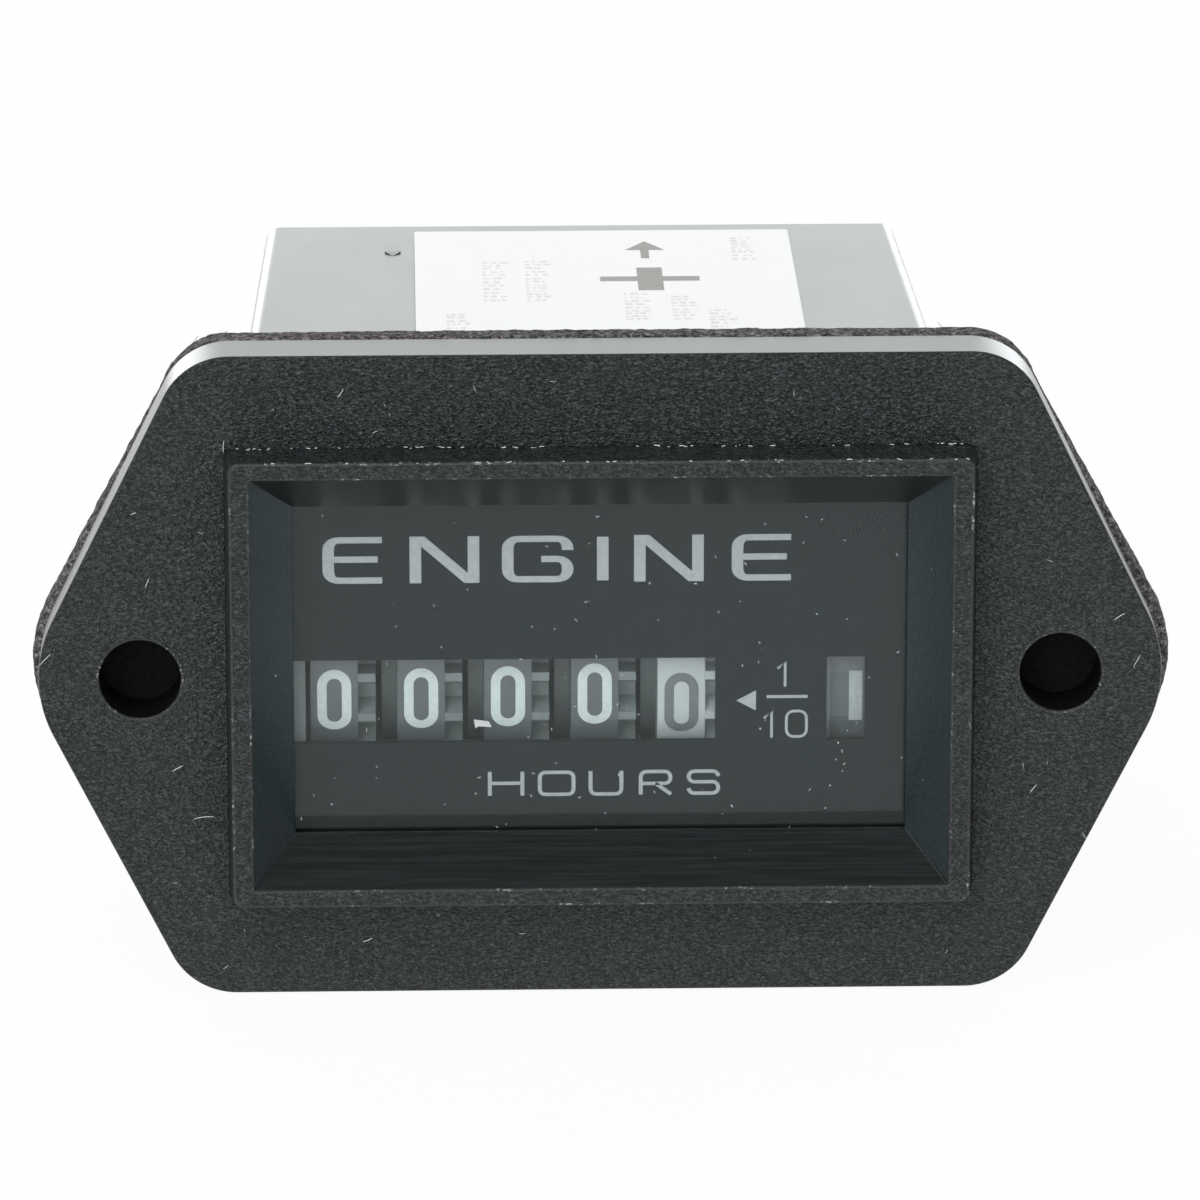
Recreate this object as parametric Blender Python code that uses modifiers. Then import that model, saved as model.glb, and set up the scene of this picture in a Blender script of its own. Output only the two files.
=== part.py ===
"""Hour meter: a two-hole panel instrument with a geared number counter.

Frame: metres, +X to the right, +Y to the rear, +Z up. The origin lies on the panel face
(the rear of the gasket), midway between the two screw holes.
"""
import math

import bmesh
import bpy
from mathutils import Matrix

MM = 0.001

# Play between pieces
GAP = 0.25 * MM
RUN = 0.15 * MM

# Flange, a long six-sided plate with rounded corners, drawn round the raised frame
HOLE_FROM_FRAME = 5.0 * MM
TIP_FROM_HOLE = 6.45 * MM
CORNER_FROM_FRAME = 2.35 * MM
EDGE_FROM_FRAME = 5.61 * MM
FLANGE_T = 3.0 * MM
TIP_R = 7.5 * MM
CORNER_R = 4.0 * MM
EDGE_R = 0.45 * MM
HOLE_R = 2.25 * MM

# Gasket behind the flange
GASKET_T = 1.6 * MM
GASKET_EXTRA = 0.15 * MM

# Raised frame and funnel round the dial
FRAME_PROUD = 2.0 * MM
FRAME_DRAFT = 0.2 * MM
FRAME_CORNER_R = 0.7 * MM
RIM_X = 1.18 * MM
RIM_Z = 1.03 * MM
FUNNEL_RUN_X = 2.27 * MM
FUNNEL_RUN_Z = 2.35 * MM
FUNNEL_SINK = 0.9 * MM
FUNNEL_LAND = 0.2 * MM
DIAL_RISE = 0.13 * MM

# Lens and printed dial
DIAL_MARGIN = 0.61 * MM
LENS_LIP = 0.8 * MM
LENS_T = 1.0 * MM
DIAL_T = 0.5 * MM
WINDOW_HALF_H = 2.45 * MM
WINDOW_RISE = 0.1 * MM
WINDOW_LEFT = 2.25 * MM
WINDOW_RIGHT = 1.85 * MM
RUN_WINDOW_HALF_W = 1.07 * MM

# Number wheels
WHEEL_NAMES = ("1000", "100", "10", "1", "tenths")
WHEEL_COUNT = len(WHEEL_NAMES)
WHEEL_PLAY = 0.33 * MM
WHEEL_R = 7.5 * MM
RIM_HALF = 1.35 * MM
WHEEL_CLEAR = 0.4 * MM
HUB_R = 3.2 * MM
COUNTERBORE = 0.3 * MM
WHEEL_GEAR_W = 0.95 * MM
CARRY_W = 0.85 * MM
CARRY_TOOTH_H = 0.77 * MM
CARRY_TOOTH_HALF = math.radians(4.0)
SHAFT_R = 0.75 * MM
COUNTER_DROP = 2.4 * MM

# Gear train
RIM_STEP = 0.02 * MM
INDICATOR_STEP = 0.3 * MM
TIP_SHARE = 0.10
ROOT_SHARE = 0.28
ADDENDUM = 1.0
DEDENDUM = 1.25
WHEEL_TEETH = 20
TRANSFER_TEETH = 8
TENTHS_PINION_TEETH = 10
DRIVE_TEETH = 32
FINE_PINION_TEETH = 8
MIDDLE_TEETH = 40
INDICATOR_TEETH = 46
TRAIN_ANGLE = math.radians(15.0)
ROTOR_ANGLE = math.radians(-35.0)
DRIVE_GEAR_W = 1.0 * MM
FINE_GEAR_W = 0.9 * MM
PINION_SHAFT_R = 0.6 * MM
ARBOR_R = 0.4 * MM

# Run indicator wheel beside the counter
TRAIN_PLAY = 1.65 * MM
INDICATOR_HALF = 1.2 * MM
INDICATOR_NECK = 0.75 * MM
INDICATOR_HUB = 1.46 * MM

# Movement plates and the rods that hold them
PLATE_T = 0.8 * MM
PLATE_EDGE = 0.28 * MM
SIDE_CLEAR = 0.45 * MM
ROD_R = 0.6 * MM
FRONT_ROD_WEB = 0.4 * MM
REAR_ROD_WEB = 0.85 * MM

# Stepping motor
MAGNET_R = 2.6 * MM
MAGNET_HALF = 1.25 * MM
AIR_GAP = 0.45 * MM
STATOR_T = 0.8 * MM
STATOR_FRONT = 4.2 * MM
STATOR_WEB = 4.2 * MM
STATOR_ARM = 2.4 * MM
STATOR_SHORT = 0.5 * MM
CORE_T = 0.8 * MM
CORE_W = 2.4 * MM
BOBBIN_WALL = 0.5 * MM
BOBBIN_FLANGE_T = 0.6 * MM
BOBBIN_LIP = 0.5 * MM
WINDING_DEPTH = 1.4 * MM
COIL_CLEAR = 0.9 * MM

# Circuit board and what stands on it
BOARD_T = 1.0 * MM
BOARD_PLAY = 0.45 * MM
CHIP_W = 5.0 * MM
CHIP_T = 1.6 * MM
CHIP_H = 6.0 * MM
CHIP_X = -2.5 * MM
CHIP_Z = 3.2 * MM
CHIP_LEGS = 4
CHIP_LEG_LIFT = 0.32 * MM
CHIP_LEG_T = 0.21 * MM
CRYSTAL_R = 1.5 * MM
CRYSTAL_L = 8.0 * MM
CRYSTAL_FROM_SIDE = 6.1 * MM
CRYSTAL_FROM_FOOT = 2.6 * MM
CAPACITOR_R = 3.1 * MM
CAPACITOR_L = 7.0 * MM
CAPACITOR_FROM_SIDE = 5.3 * MM
CAPACITOR_FROM_TOP = 5.5 * MM
DIODE_R = 1.3 * MM
DIODE_L = 5.0 * MM
DIODE_X = 0.5 * MM
DIODE_FROM_FOOT = 2.8 * MM
RESISTOR_R = 1.15 * MM
RESISTOR_L = 6.0 * MM
RESISTOR_X = 3.4 * MM
RESISTOR_Z = 2.6 * MM
LEAD_R = 0.3 * MM
LEAD_REACH = 1.6 * MM

# Body tub behind the panel
WALL = 1.5 * MM
BODY_DRAFT_X = 0.031
BODY_DRAFT_Z = 0.018
BODY_EDGE_R = 0.8 * MM
PAD_PROUD = 0.4 * MM
PAD_LENGTH = 25.0 * MM
PAD_RAMP = 2.0 * MM
PAD_SHORT = 0.7 * MM
NUB_X = -11.3 * MM
NUB_FROM_REAR = 8.1 * MM
NUB_L = 3.4 * MM
NUB_W = 0.9 * MM
NUB_H = 0.5 * MM

# Rear cover and blade terminals
COVER_T = 1.5 * MM
COVER_SINK = 0.5 * MM
LEG_LENGTH = 3.0 * MM
LEG_R = 1.2 * MM
LEG_X = 12.6 * MM
LEG_Z = 7.4 * MM
BLADE_W = 6.3 * MM
BLADE_T = 0.8 * MM
BLADE_OUT = 8.0 * MM
BLADE_IN = 0.6 * MM
BLADE_X = 8.0 * MM
BLADE_TIP = 1.2 * MM
BLADE_HOLE_R = 0.8 * MM
BLADE_HOLE_BACK = 3.2 * MM
COLLAR_H = 1.4 * MM
COLLAR_WALL = 0.9 * MM

# Rating label on top of the body
LABEL_LEFT = -10.0 * MM
LABEL_RIGHT = 12.4 * MM
LABEL_REAR = 2.0 * MM
LABEL_L = 34.0 * MM
LABEL_T = 0.15 * MM
LABEL_GAP = 0.1 * MM
LABEL_R = 0.8 * MM

# Facets of round shapes
WHEEL_STEPS = 36
CARRY_STEPS = 20
ROUND_STEPS = 16
SMALL_STEPS = 12
HOLE_STEPS = 32
CORNER_STEPS = 5

# Places across the object, from the left plate to the right one
WHEEL_PITCH = 2 * RIM_HALF + WHEEL_GEAR_W + CARRY_W + WHEEL_PLAY
LAST_TO_MIDDLE = RIM_HALF + WHEEL_GEAR_W + GAP
MIDDLE_TO_DRIVE = PLATE_T + GAP
DRIVE_TO_FINE = DRIVE_GEAR_W + TRAIN_PLAY
FINE_TO_INDICATOR = FINE_GEAR_W + INDICATOR_NECK + INDICATOR_HALF
WHEELS_SPAN = (WHEEL_COUNT - 1) * WHEEL_PITCH
TRAIN_SPAN = LAST_TO_MIDDLE + MIDDLE_TO_DRIVE + DRIVE_TO_FINE + FINE_TO_INDICATOR
INNER_SPAN = RIM_HALF + GAP + WHEELS_SPAN + TRAIN_SPAN + INDICATOR_HALF + INDICATOR_HUB
PLATE_X = INNER_SPAN / 2
FIRST_X = -PLATE_X + RIM_HALF + GAP
LAST_X = FIRST_X + WHEELS_SPAN
MIDDLE_X = LAST_X + LAST_TO_MIDDLE
DRIVE_X = MIDDLE_X + MIDDLE_TO_DRIVE
FINE_X = DRIVE_X + DRIVE_TO_FINE
INDICATOR_X = FINE_X + FINE_TO_INDICATOR
DIAL_HALF_W = PLATE_X + DIAL_MARGIN

# Heights: the wheels set the plates, and the plates set the dial
PLATE_HALF_H = WHEEL_R + COUNTER_DROP + DIAL_RISE + PLATE_EDGE
STATOR_HALF_H = PLATE_HALF_H - STATOR_SHORT
DIAL_HALF_H = PLATE_HALF_H - LENS_LIP

# Outline of the frame and the flange; the screw holes come 50.8 mm apart
FRAME_HALF_W = DIAL_HALF_W + FUNNEL_RUN_X + RIM_X
FRAME_HALF_H = DIAL_HALF_H + FUNNEL_RUN_Z + RIM_Z
HOLE_X = FRAME_HALF_W + HOLE_FROM_FRAME
TIP_X = HOLE_X + TIP_FROM_HOLE
CORNER_X = FRAME_HALF_W + CORNER_FROM_FRAME
FLANGE_HALF_H = FRAME_HALF_H + EDGE_FROM_FRAME

# Places from front to rear
FLANGE_REAR = -GASKET_T - GAP
FRONT = FLANGE_REAR - FLANGE_T
FRAME_FRONT = FRONT - FRAME_PROUD
FUNNEL_END = FRONT + FUNNEL_SINK
POCKET_FRONT = FUNNEL_END + FUNNEL_LAND
LENS_FRONT = POCKET_FRONT + GAP
DIAL_FRONT = LENS_FRONT + LENS_T + GAP
DIAL_REAR = DIAL_FRONT + DIAL_T
CAVITY_FRONT = DIAL_REAR + RUN
PLATE_FRONT = CAVITY_FRONT + GAP
WHEEL_Y = DIAL_REAR + WHEEL_CLEAR + WHEEL_R
WHEEL_Z = -COUNTER_DROP

# Modules that bring the gears' tips just inside the wheels' rims
COARSE_MODULE = (WHEEL_R - RIM_STEP) / (WHEEL_TEETH / 2 + ADDENDUM)
FINE_MODULE = (WHEEL_R - INDICATOR_STEP) / (INDICATOR_TEETH / 2 + ADDENDUM)


def pitch_radius(teeth, module):
    """Radius of a gear's pitch circle."""
    return teeth * module / 2


def tip_radius(teeth, module):
    """Radius of a gear over its teeth."""
    return pitch_radius(teeth, module) + ADDENDUM * module


def beyond(place, distance, angle):
    """The (y, z) place at a distance and angle from another."""
    return (place[0] + distance * math.cos(angle), place[1] + distance * math.sin(angle))


# Shaft places as (y, z), each in mesh with the one before
TRANSFER_REACH = pitch_radius(WHEEL_TEETH + TRANSFER_TEETH, COARSE_MODULE)
DRIVE_REACH = pitch_radius(WHEEL_TEETH + TENTHS_PINION_TEETH, COARSE_MODULE)
INDICATOR_REACH = pitch_radius(MIDDLE_TEETH + INDICATOR_TEETH, FINE_MODULE)
DRIVE_TO_MIDDLE = pitch_radius(DRIVE_TEETH + FINE_PINION_TEETH, FINE_MODULE)
ROTOR_REACH = pitch_radius(MIDDLE_TEETH + FINE_PINION_TEETH, FINE_MODULE)
WHEEL_AXIS = (WHEEL_Y, WHEEL_Z)
TRANSFER_AXIS = beyond(WHEEL_AXIS, TRANSFER_REACH, 0.0)
DRIVE_SIDES = DRIVE_REACH ** 2 + INDICATOR_REACH ** 2 - DRIVE_TO_MIDDLE ** 2
DRIVE_COS = DRIVE_SIDES / (2 * DRIVE_REACH * INDICATOR_REACH)
TO_DRIVE = TRAIN_ANGLE + math.acos(DRIVE_COS)
DRIVE_AXIS = beyond(WHEEL_AXIS, DRIVE_REACH, TO_DRIVE)
MIDDLE_AXIS = beyond(WHEEL_AXIS, INDICATOR_REACH, TRAIN_ANGLE)
ROTOR_AXIS = beyond(MIDDLE_AXIS, ROTOR_REACH, ROTOR_ANGLE)
CARRY_TIP_R = TRANSFER_REACH - tip_radius(TRANSFER_TEETH, COARSE_MODULE) - RUN
CARRY_ROOT_R = CARRY_TIP_R - CARRY_TOOTH_H

# Motor, board, cover and body, each behind the last
STATOR_Y0 = ROTOR_AXIS[0] - STATOR_FRONT
STATOR_Y1 = ROTOR_AXIS[0] + STATOR_WEB
BOBBIN_FLANGE = WINDING_DEPTH + BOBBIN_LIP
BOBBIN_HALF_Y = CORE_W / 2 + RUN + BOBBIN_WALL + BOBBIN_FLANGE
COIL_Y = STATOR_Y1 + COIL_CLEAR + BOBBIN_HALF_Y
PLATE_REAR = COIL_Y + BOBBIN_HALF_Y + COIL_CLEAR
BOARD_FRONT = PLATE_REAR + GAP
BOARD_REAR = BOARD_FRONT + BOARD_T
COVER_FRONT = BOARD_REAR + GAP + LEG_LENGTH
COVER_REAR = COVER_FRONT + COVER_T
BODY_REAR = COVER_REAR + COVER_SINK
INNER_HALF_W = PLATE_X + PLATE_T + SIDE_CLEAR
INNER_HALF_H = PLATE_HALF_H + GAP
BOARD_HALF_W = INNER_HALF_W - BOARD_PLAY
BOARD_HALF_H = INNER_HALF_H - BOARD_PLAY

# Local axes: a drawing's x, y and its normal, as world directions
ACROSS = Matrix(((0, 0, 1), (1, 0, 0), (0, 1, 0))).to_4x4()
UPRIGHT = Matrix(((1, 0, 0), (0, 0, -1), (0, 1, 0))).to_4x4()
LEVEL = Matrix.Identity(4)


def fresh_scene():
    """Empty the scene and give it a collection for the parts and one for the cutters."""
    for old in list(bpy.data.objects):
        bpy.data.objects.remove(old, do_unlink=True)
    made = []
    for name in ("hour_meter", "cutters"):
        group = bpy.data.collections.new(name)
        bpy.context.scene.collection.children.link(group)
        made.append(group)
    return made


PARTS, CUTTERS = fresh_scene()


def finish(name, colour, roughness, metallic=0.0, alpha=1.0):
    """A plain Principled material."""
    look = bpy.data.materials.new(name)
    look.use_nodes = True
    shader = look.node_tree.nodes["Principled BSDF"]
    shader.inputs["Base Color"].default_value = (*colour, 1.0)
    shader.inputs["Roughness"].default_value = roughness
    shader.inputs["Metallic"].default_value = metallic
    shader.inputs["Alpha"].default_value = alpha
    return look


BLACK = ((0.012, 0.012, 0.013), 0.5)
DARK = ((0.05, 0.055, 0.055), 0.6)
WHITE = ((0.8, 0.8, 0.78), 0.5)
NATURAL = ((0.72, 0.70, 0.62), 0.45)
STEEL = ((0.6, 0.6, 0.6), 0.3, 1.0)
BRASS = ((0.72, 0.55, 0.25), 0.3, 1.0)
TINNED = ((0.75, 0.74, 0.7), 0.3, 1.0)
COPPER = ((0.6, 0.22, 0.09), 0.35, 1.0)
GREEN = ((0.03, 0.16, 0.07), 0.45)
FOAM = ((0.10, 0.09, 0.085), 0.95)
CLEAR = ((0.9, 0.93, 0.93), 0.05, 0.0, 0.3)


def part(name, mesh, place, look):
    """A visible piece with its own material."""
    piece = bpy.data.objects.new(name, mesh)
    piece.matrix_world = place
    PARTS.objects.link(piece)
    mesh.materials.clear()
    mesh.materials.append(finish(name, *look))
    return piece


def tool(name, mesh, place):
    """A shape that cuts or joins another and isn't a piece by itself."""
    shape = bpy.data.objects.new(name, mesh)
    shape.matrix_world = place
    shape.hide_render = True
    shape.display_type = "WIRE"
    CUTTERS.objects.link(shape)
    return shape


def change(piece, shape, operation):
    """Join a tool's shape to a piece, or cut it away."""
    step = piece.modifiers.new(operation.lower(), "BOOLEAN")
    step.operation = operation
    step.object = shape
    step.solver = "EXACT"


def rounded(corners, radii, steps):
    """A closed outline with an arc at each corner; a radius of zero keeps the corner sharp."""
    outline = []
    count = len(corners)
    for index, (x, y) in enumerate(corners):
        radius = radii[index]
        if radius <= 0:
            outline.append((x, y))
            continue
        before = corners[index - 1]
        after = corners[(index + 1) % count]
        back = math.atan2(before[1] - y, before[0] - x)
        on = math.atan2(after[1] - y, after[0] - x)
        turn = (on - back) % (2 * math.pi)
        if turn > math.pi:
            turn -= 2 * math.pi
        half = abs(turn) / 2
        middle = back + turn / 2
        centre_x = x + radius / math.sin(half) * math.cos(middle)
        centre_y = y + radius / math.sin(half) * math.sin(middle)
        sweep = math.copysign(math.pi - 2 * half, turn)
        first = middle + math.pi + sweep / 2
        for step in range(steps + 1):
            angle = first - sweep * step / steps
            outline.append((centre_x + radius * math.cos(angle), centre_y + radius * math.sin(angle)))
    return outline


def box_outline(x0, x1, y0, y1, radius=0.0, steps=3):
    """A rectangle, with rounded corners if a radius is given."""
    return rounded([(x0, y0), (x1, y0), (x1, y1), (x0, y1)], [radius] * 4, steps)


def circle(x, y, radius, steps):
    """A round outline."""
    turns = [2 * math.pi * k / steps for k in range(steps)]
    return [(x + radius * math.cos(a), y + radius * math.sin(a)) for a in turns]


def flat(outlines, thickness):
    """A mesh from flat outlines, inner ones being holes, centred on its own plane.

    The outlines are drawn in millimetres and the mesh shrunk to metres, because the fill of
    very small outlines drops points.
    """
    drawing = bpy.data.curves.new("drawing", "CURVE")
    drawing.dimensions = "2D"
    drawing.fill_mode = "BOTH"
    drawing.extrude = thickness / 2 / MM
    for outline in outlines:
        line = drawing.splines.new("POLY")
        line.points.add(len(outline) - 1)
        for point, (x, y) in zip(line.points, outline):
            point.co = (x / MM, y / MM, 0.0, 1.0)
        line.use_cyclic_u = True
    holder = bpy.data.objects.new("drawing", drawing)
    CUTTERS.objects.link(holder)
    bpy.context.view_layer.update()
    graph = bpy.context.evaluated_depsgraph_get()
    mesh = bpy.data.meshes.new_from_object(holder.evaluated_get(graph))
    bpy.data.objects.remove(holder, do_unlink=True)
    shape = bmesh.new()
    shape.from_mesh(mesh)
    bmesh.ops.remove_doubles(shape, verts=shape.verts, dist=0.0001)
    bmesh.ops.scale(shape, vec=(MM, MM, MM), verts=shape.verts)
    bmesh.ops.recalc_face_normals(shape, faces=shape.faces)
    shape.to_mesh(mesh)
    shape.free()
    return mesh


def across(x0, x1, axis=(0.0, 0.0)):
    """Place for a drawing in the (y, z) plane that fills x0 to x1, with its own zero on an axis."""
    return Matrix.Translation(((x0 + x1) / 2, axis[0], axis[1])) @ ACROSS


def upright(y0, y1, z=0.0):
    """Place for a drawing in the (x, z) plane that fills y0 to y1."""
    return Matrix.Translation((0.0, (y0 + y1) / 2, z)) @ UPRIGHT


def level(z0, z1):
    """Place for a drawing in the (x, y) plane that fills z0 to z1."""
    return Matrix.Translation((0.0, 0.0, (z0 + z1) / 2))


def smooth(mesh):
    """Smooth shading with sharp edges kept."""
    mesh.shade_smooth()
    mesh.set_sharp_from_angle(angle=math.radians(35))


def lathe(piece, steps):
    """Turn an object's profile about its own Z axis."""
    turn = piece.modifiers.new("turn", "SCREW")
    turn.axis = "Z"
    turn.angle = 2 * math.pi
    turn.steps = steps
    turn.render_steps = steps
    turn.use_merge_vertices = True
    turn.merge_threshold = 0.00001
    turn.use_smooth_shade = True


def profile(points, closed):
    """A mesh of edges through (radius, height) points, listed down the outer side."""
    mesh = bpy.data.meshes.new("profile")
    count = len(points)
    edges = [(k, k + 1) for k in range(count - 1)]
    if closed:
        edges.append((count - 1, 0))
    mesh.from_pydata([(r, 0.0, h) for r, h in points], edges, [])
    return mesh


def rod_profile(radius, x0, x1):
    """Profile of a plain rod along X, from x1 down to x0, centred between them."""
    half = (x1 - x0) / 2
    return profile([(0.0, half), (radius, half), (radius, -half), (0.0, -half)], False)


def rod(name, radius, x0, x1, axis, look, steps=ROUND_STEPS):
    """A plain round rod along X."""
    piece = part(name, rod_profile(radius, x0, x1), across(x0, x1, axis), look)
    lathe(piece, steps)
    return piece


def join_rod(piece, name, radius, x0, x1, axis, steps=SMALL_STEPS):
    """Join a plain round rod along X to a piece."""
    shape = tool(name, rod_profile(radius, x0, x1), across(x0, x1, axis))
    lathe(shape, steps)
    change(piece, shape, "UNION")


def gear_outline(teeth, module, phase, keep=1):
    """A gear's outline; keep=2 leaves out every second tooth."""
    root_r = pitch_radius(teeth, module) - DEDENDUM * module
    tip_r = tip_radius(teeth, module)
    step = 2 * math.pi / teeth
    outline = []
    for tooth in range(0, teeth, keep):
        middle = phase + tooth * step
        flank = ((root_r, -ROOT_SHARE), (tip_r, -TIP_SHARE), (tip_r, TIP_SHARE), (root_r, ROOT_SHARE))
        for radius, share in flank:
            angle = middle + share * step
            outline.append((radius * math.cos(angle), radius * math.sin(angle)))
        if keep > 1:
            angle = middle + step
            outline.append((root_r * math.cos(angle), root_r * math.sin(angle)))
    return outline


def mesh_phase(phase, teeth, other_teeth, direction):
    """Phase of a gear in mesh with another, which lies at a direction from the first."""
    return direction + math.pi - (phase - direction) * teeth / other_teeth + math.pi / other_teeth


def join_gear(piece, name, outlines, x0, x1, axis):
    """Join a flat toothed shape to a piece on a shaft."""
    change(piece, tool(name, flat(outlines, x1 - x0), across(x0, x1, axis)), "UNION")


def cube(low, high):
    """A box mesh from corner to corner."""
    shape = bmesh.new()
    bmesh.ops.create_cube(shape, size=1.0)
    for vertex in shape.verts:
        for axis in range(3):
            vertex.co[axis] = high[axis] if vertex.co[axis] > 0 else low[axis]
    mesh = bpy.data.meshes.new("box")
    shape.to_mesh(mesh)
    shape.free()
    return mesh


def taper(front, rear, y0, y1, z_mid, long_r=0.0, front_r=0.0, rear_r=0.0):
    """A box from y0 to y1 whose half width and half height change from front to rear.

    long_r rounds its four long edges, front_r and rear_r the edges of its end faces.
    """
    shape = bmesh.new()
    bmesh.ops.create_cube(shape, size=2.0)
    for vertex in shape.verts:
        half_w, half_h = rear if vertex.co.y > 0 else front
        vertex.co.x = math.copysign(half_w, vertex.co.x)
        vertex.co.z = z_mid + math.copysign(half_h, vertex.co.z)
        vertex.co.y = y1 if vertex.co.y > 0 else y0
    middle = (y0 + y1) / 2

    def ends(edge):
        return [vertex.co.y > middle for vertex in edge.verts]

    if long_r > 0:
        long_edges = [edge for edge in shape.edges if ends(edge)[0] != ends(edge)[1]]
        bmesh.ops.bevel(shape, geom=long_edges, offset=long_r, segments=3, profile=0.5, affect="EDGES")
    for radius, rear_end in ((front_r, False), (rear_r, True)):
        if radius > 0:
            rim = [edge for edge in shape.edges if ends(edge) == [rear_end, rear_end]]
            bmesh.ops.bevel(shape, geom=rim, offset=radius, segments=2, profile=0.5, affect="EDGES")
    mesh = bpy.data.meshes.new("taper")
    shape.to_mesh(mesh)
    shape.free()
    return mesh


def flange_outline(extra=0.0):
    """The six-sided outline, grown by extra."""
    lean = math.atan2(TIP_X - CORNER_X, FLANGE_HALF_H)
    tip = TIP_X + extra / math.cos(lean)
    corner = CORNER_X + extra * (1 - math.sin(lean)) / math.cos(lean)
    half_h = FLANGE_HALF_H + extra
    corners = [(-tip, 0.0), (-corner, -half_h), (corner, -half_h),
               (tip, 0.0), (corner, half_h), (-corner, half_h)]
    radii = [TIP_R + extra, CORNER_R + extra, CORNER_R + extra] * 2
    return rounded(corners, radii, CORNER_STEPS)


def body_half(y):
    """The tub's outer half width and half height at a depth."""
    half_w = INNER_HALF_W + WALL + (PLATE_REAR - y) * BODY_DRAFT_X
    half_h = INNER_HALF_H + WALL + (PLATE_REAR - y) * BODY_DRAFT_Z
    return half_w, half_h


def inner_half(y):
    """The tub's inner half width and half height at a depth."""
    half_w, half_h = body_half(y)
    return half_w - WALL, half_h - WALL


def build_housing():
    """Flange, raised frame, funnel and body tub: one moulding, open at the rear."""
    housing = part("front_housing", flat([flange_outline()], FLANGE_T), upright(FRONT, FLANGE_REAR), BLACK)
    edge = housing.modifiers.new("edge", "BEVEL")
    edge.width = EDGE_R
    edge.segments = 2
    edge.limit_method = "ANGLE"
    edge.angle_limit = math.radians(60)

    inside_flange = FRONT + FLANGE_T / 2
    foot_draft = FRAME_DRAFT * (1 + FLANGE_T / 2 / FRAME_PROUD)
    foot = (FRAME_HALF_W + foot_draft, FRAME_HALF_H + foot_draft)
    top = (FRAME_HALF_W, FRAME_HALF_H)
    rim = taper(top, foot, FRAME_FRONT, inside_flange, DIAL_RISE, FRAME_CORNER_R, EDGE_R / 2)
    change(housing, tool("raised_frame", rim, LEVEL), "UNION")

    tub = taper(body_half(inside_flange), body_half(BODY_REAR), inside_flange, BODY_REAR, DIAL_RISE,
                BODY_EDGE_R, 0.0, BODY_EDGE_R / 2)
    change(housing, tool("tub", tub, LEVEL), "UNION")
    join_pads(housing)
    join_nub(housing)
    cut_funnel(housing)
    cut_cavity(housing)
    for side in (-1, 1):
        hole = flat([circle(side * HOLE_X, 0.0, HOLE_R, HOLE_STEPS)], FLANGE_T * 2)
        change(housing, tool("screw_hole", hole, upright(FRONT, FLANGE_REAR)), "DIFFERENCE")


def join_pads(housing):
    """The long pads on the tub's sides, ramped at the rear."""
    start = FLANGE_REAR - WALL / 2
    end = PAD_LENGTH
    for side in (-1, 1):
        outer = body_half(end)[0] + PAD_PROUD
        root = body_half(end)[0] - WALL / 2
        front = body_half(start)[0] + PAD_PROUD
        corners = [(side * root, start), (side * front, start),
                   (side * outer, end - PAD_RAMP), (side * root, end)]
        half_h = body_half(end)[1] - PAD_SHORT
        mesh = flat([corners], 2 * half_h)
        change(housing, tool("side_pad", mesh, level(DIAL_RISE - half_h, DIAL_RISE + half_h)), "UNION")


def join_nub(housing):
    """The small wedge on the tub's top, steep at its front."""
    front = BODY_REAR - NUB_FROM_REAR
    top = DIAL_RISE + body_half(front)[1]
    corners = [(front, top - WALL / 2), (front + NUB_L, top - WALL / 2),
               (front + NUB_L, top), (front, top + NUB_H)]
    mesh = flat([corners], NUB_W)
    change(housing, tool("nub", mesh, across(NUB_X - NUB_W / 2, NUB_X + NUB_W / 2)), "UNION")


def cut_funnel(housing):
    """The sloping walls down to the dial, and the straight land at their end."""
    dial = (DIAL_HALF_W, DIAL_HALF_H)
    slope_x = FUNNEL_RUN_X / (FUNNEL_END - FRAME_FRONT)
    slope_z = FUNNEL_RUN_Z / (FUNNEL_END - FRAME_FRONT)
    mouth = FRAME_FRONT - FRAME_PROUD
    reach = FUNNEL_END - mouth
    wide = (dial[0] + slope_x * reach, dial[1] + slope_z * reach)
    change(housing, tool("funnel", taper(wide, dial, mouth, FUNNEL_END, DIAL_RISE), LEVEL), "DIFFERENCE")
    land = taper(dial, dial, FUNNEL_END - FUNNEL_LAND, POCKET_FRONT + FUNNEL_LAND, DIAL_RISE)
    change(housing, tool("land", land, LEVEL), "DIFFERENCE")


def cut_cavity(housing):
    """The pocket of the lens and dial, and the room behind it."""
    pocket = (DIAL_HALF_W + LENS_LIP + GAP, DIAL_HALF_H + LENS_LIP + GAP)
    seat = taper(pocket, pocket, POCKET_FRONT, CAVITY_FRONT + WALL, DIAL_RISE)
    change(housing, tool("lens_pocket", seat, LEVEL), "DIFFERENCE")
    beyond_rear = BODY_REAR + WALL
    room = taper(inner_half(CAVITY_FRONT), inner_half(beyond_rear), CAVITY_FRONT, beyond_rear, DIAL_RISE)
    change(housing, tool("cavity", room, LEVEL), "DIFFERENCE")


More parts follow.
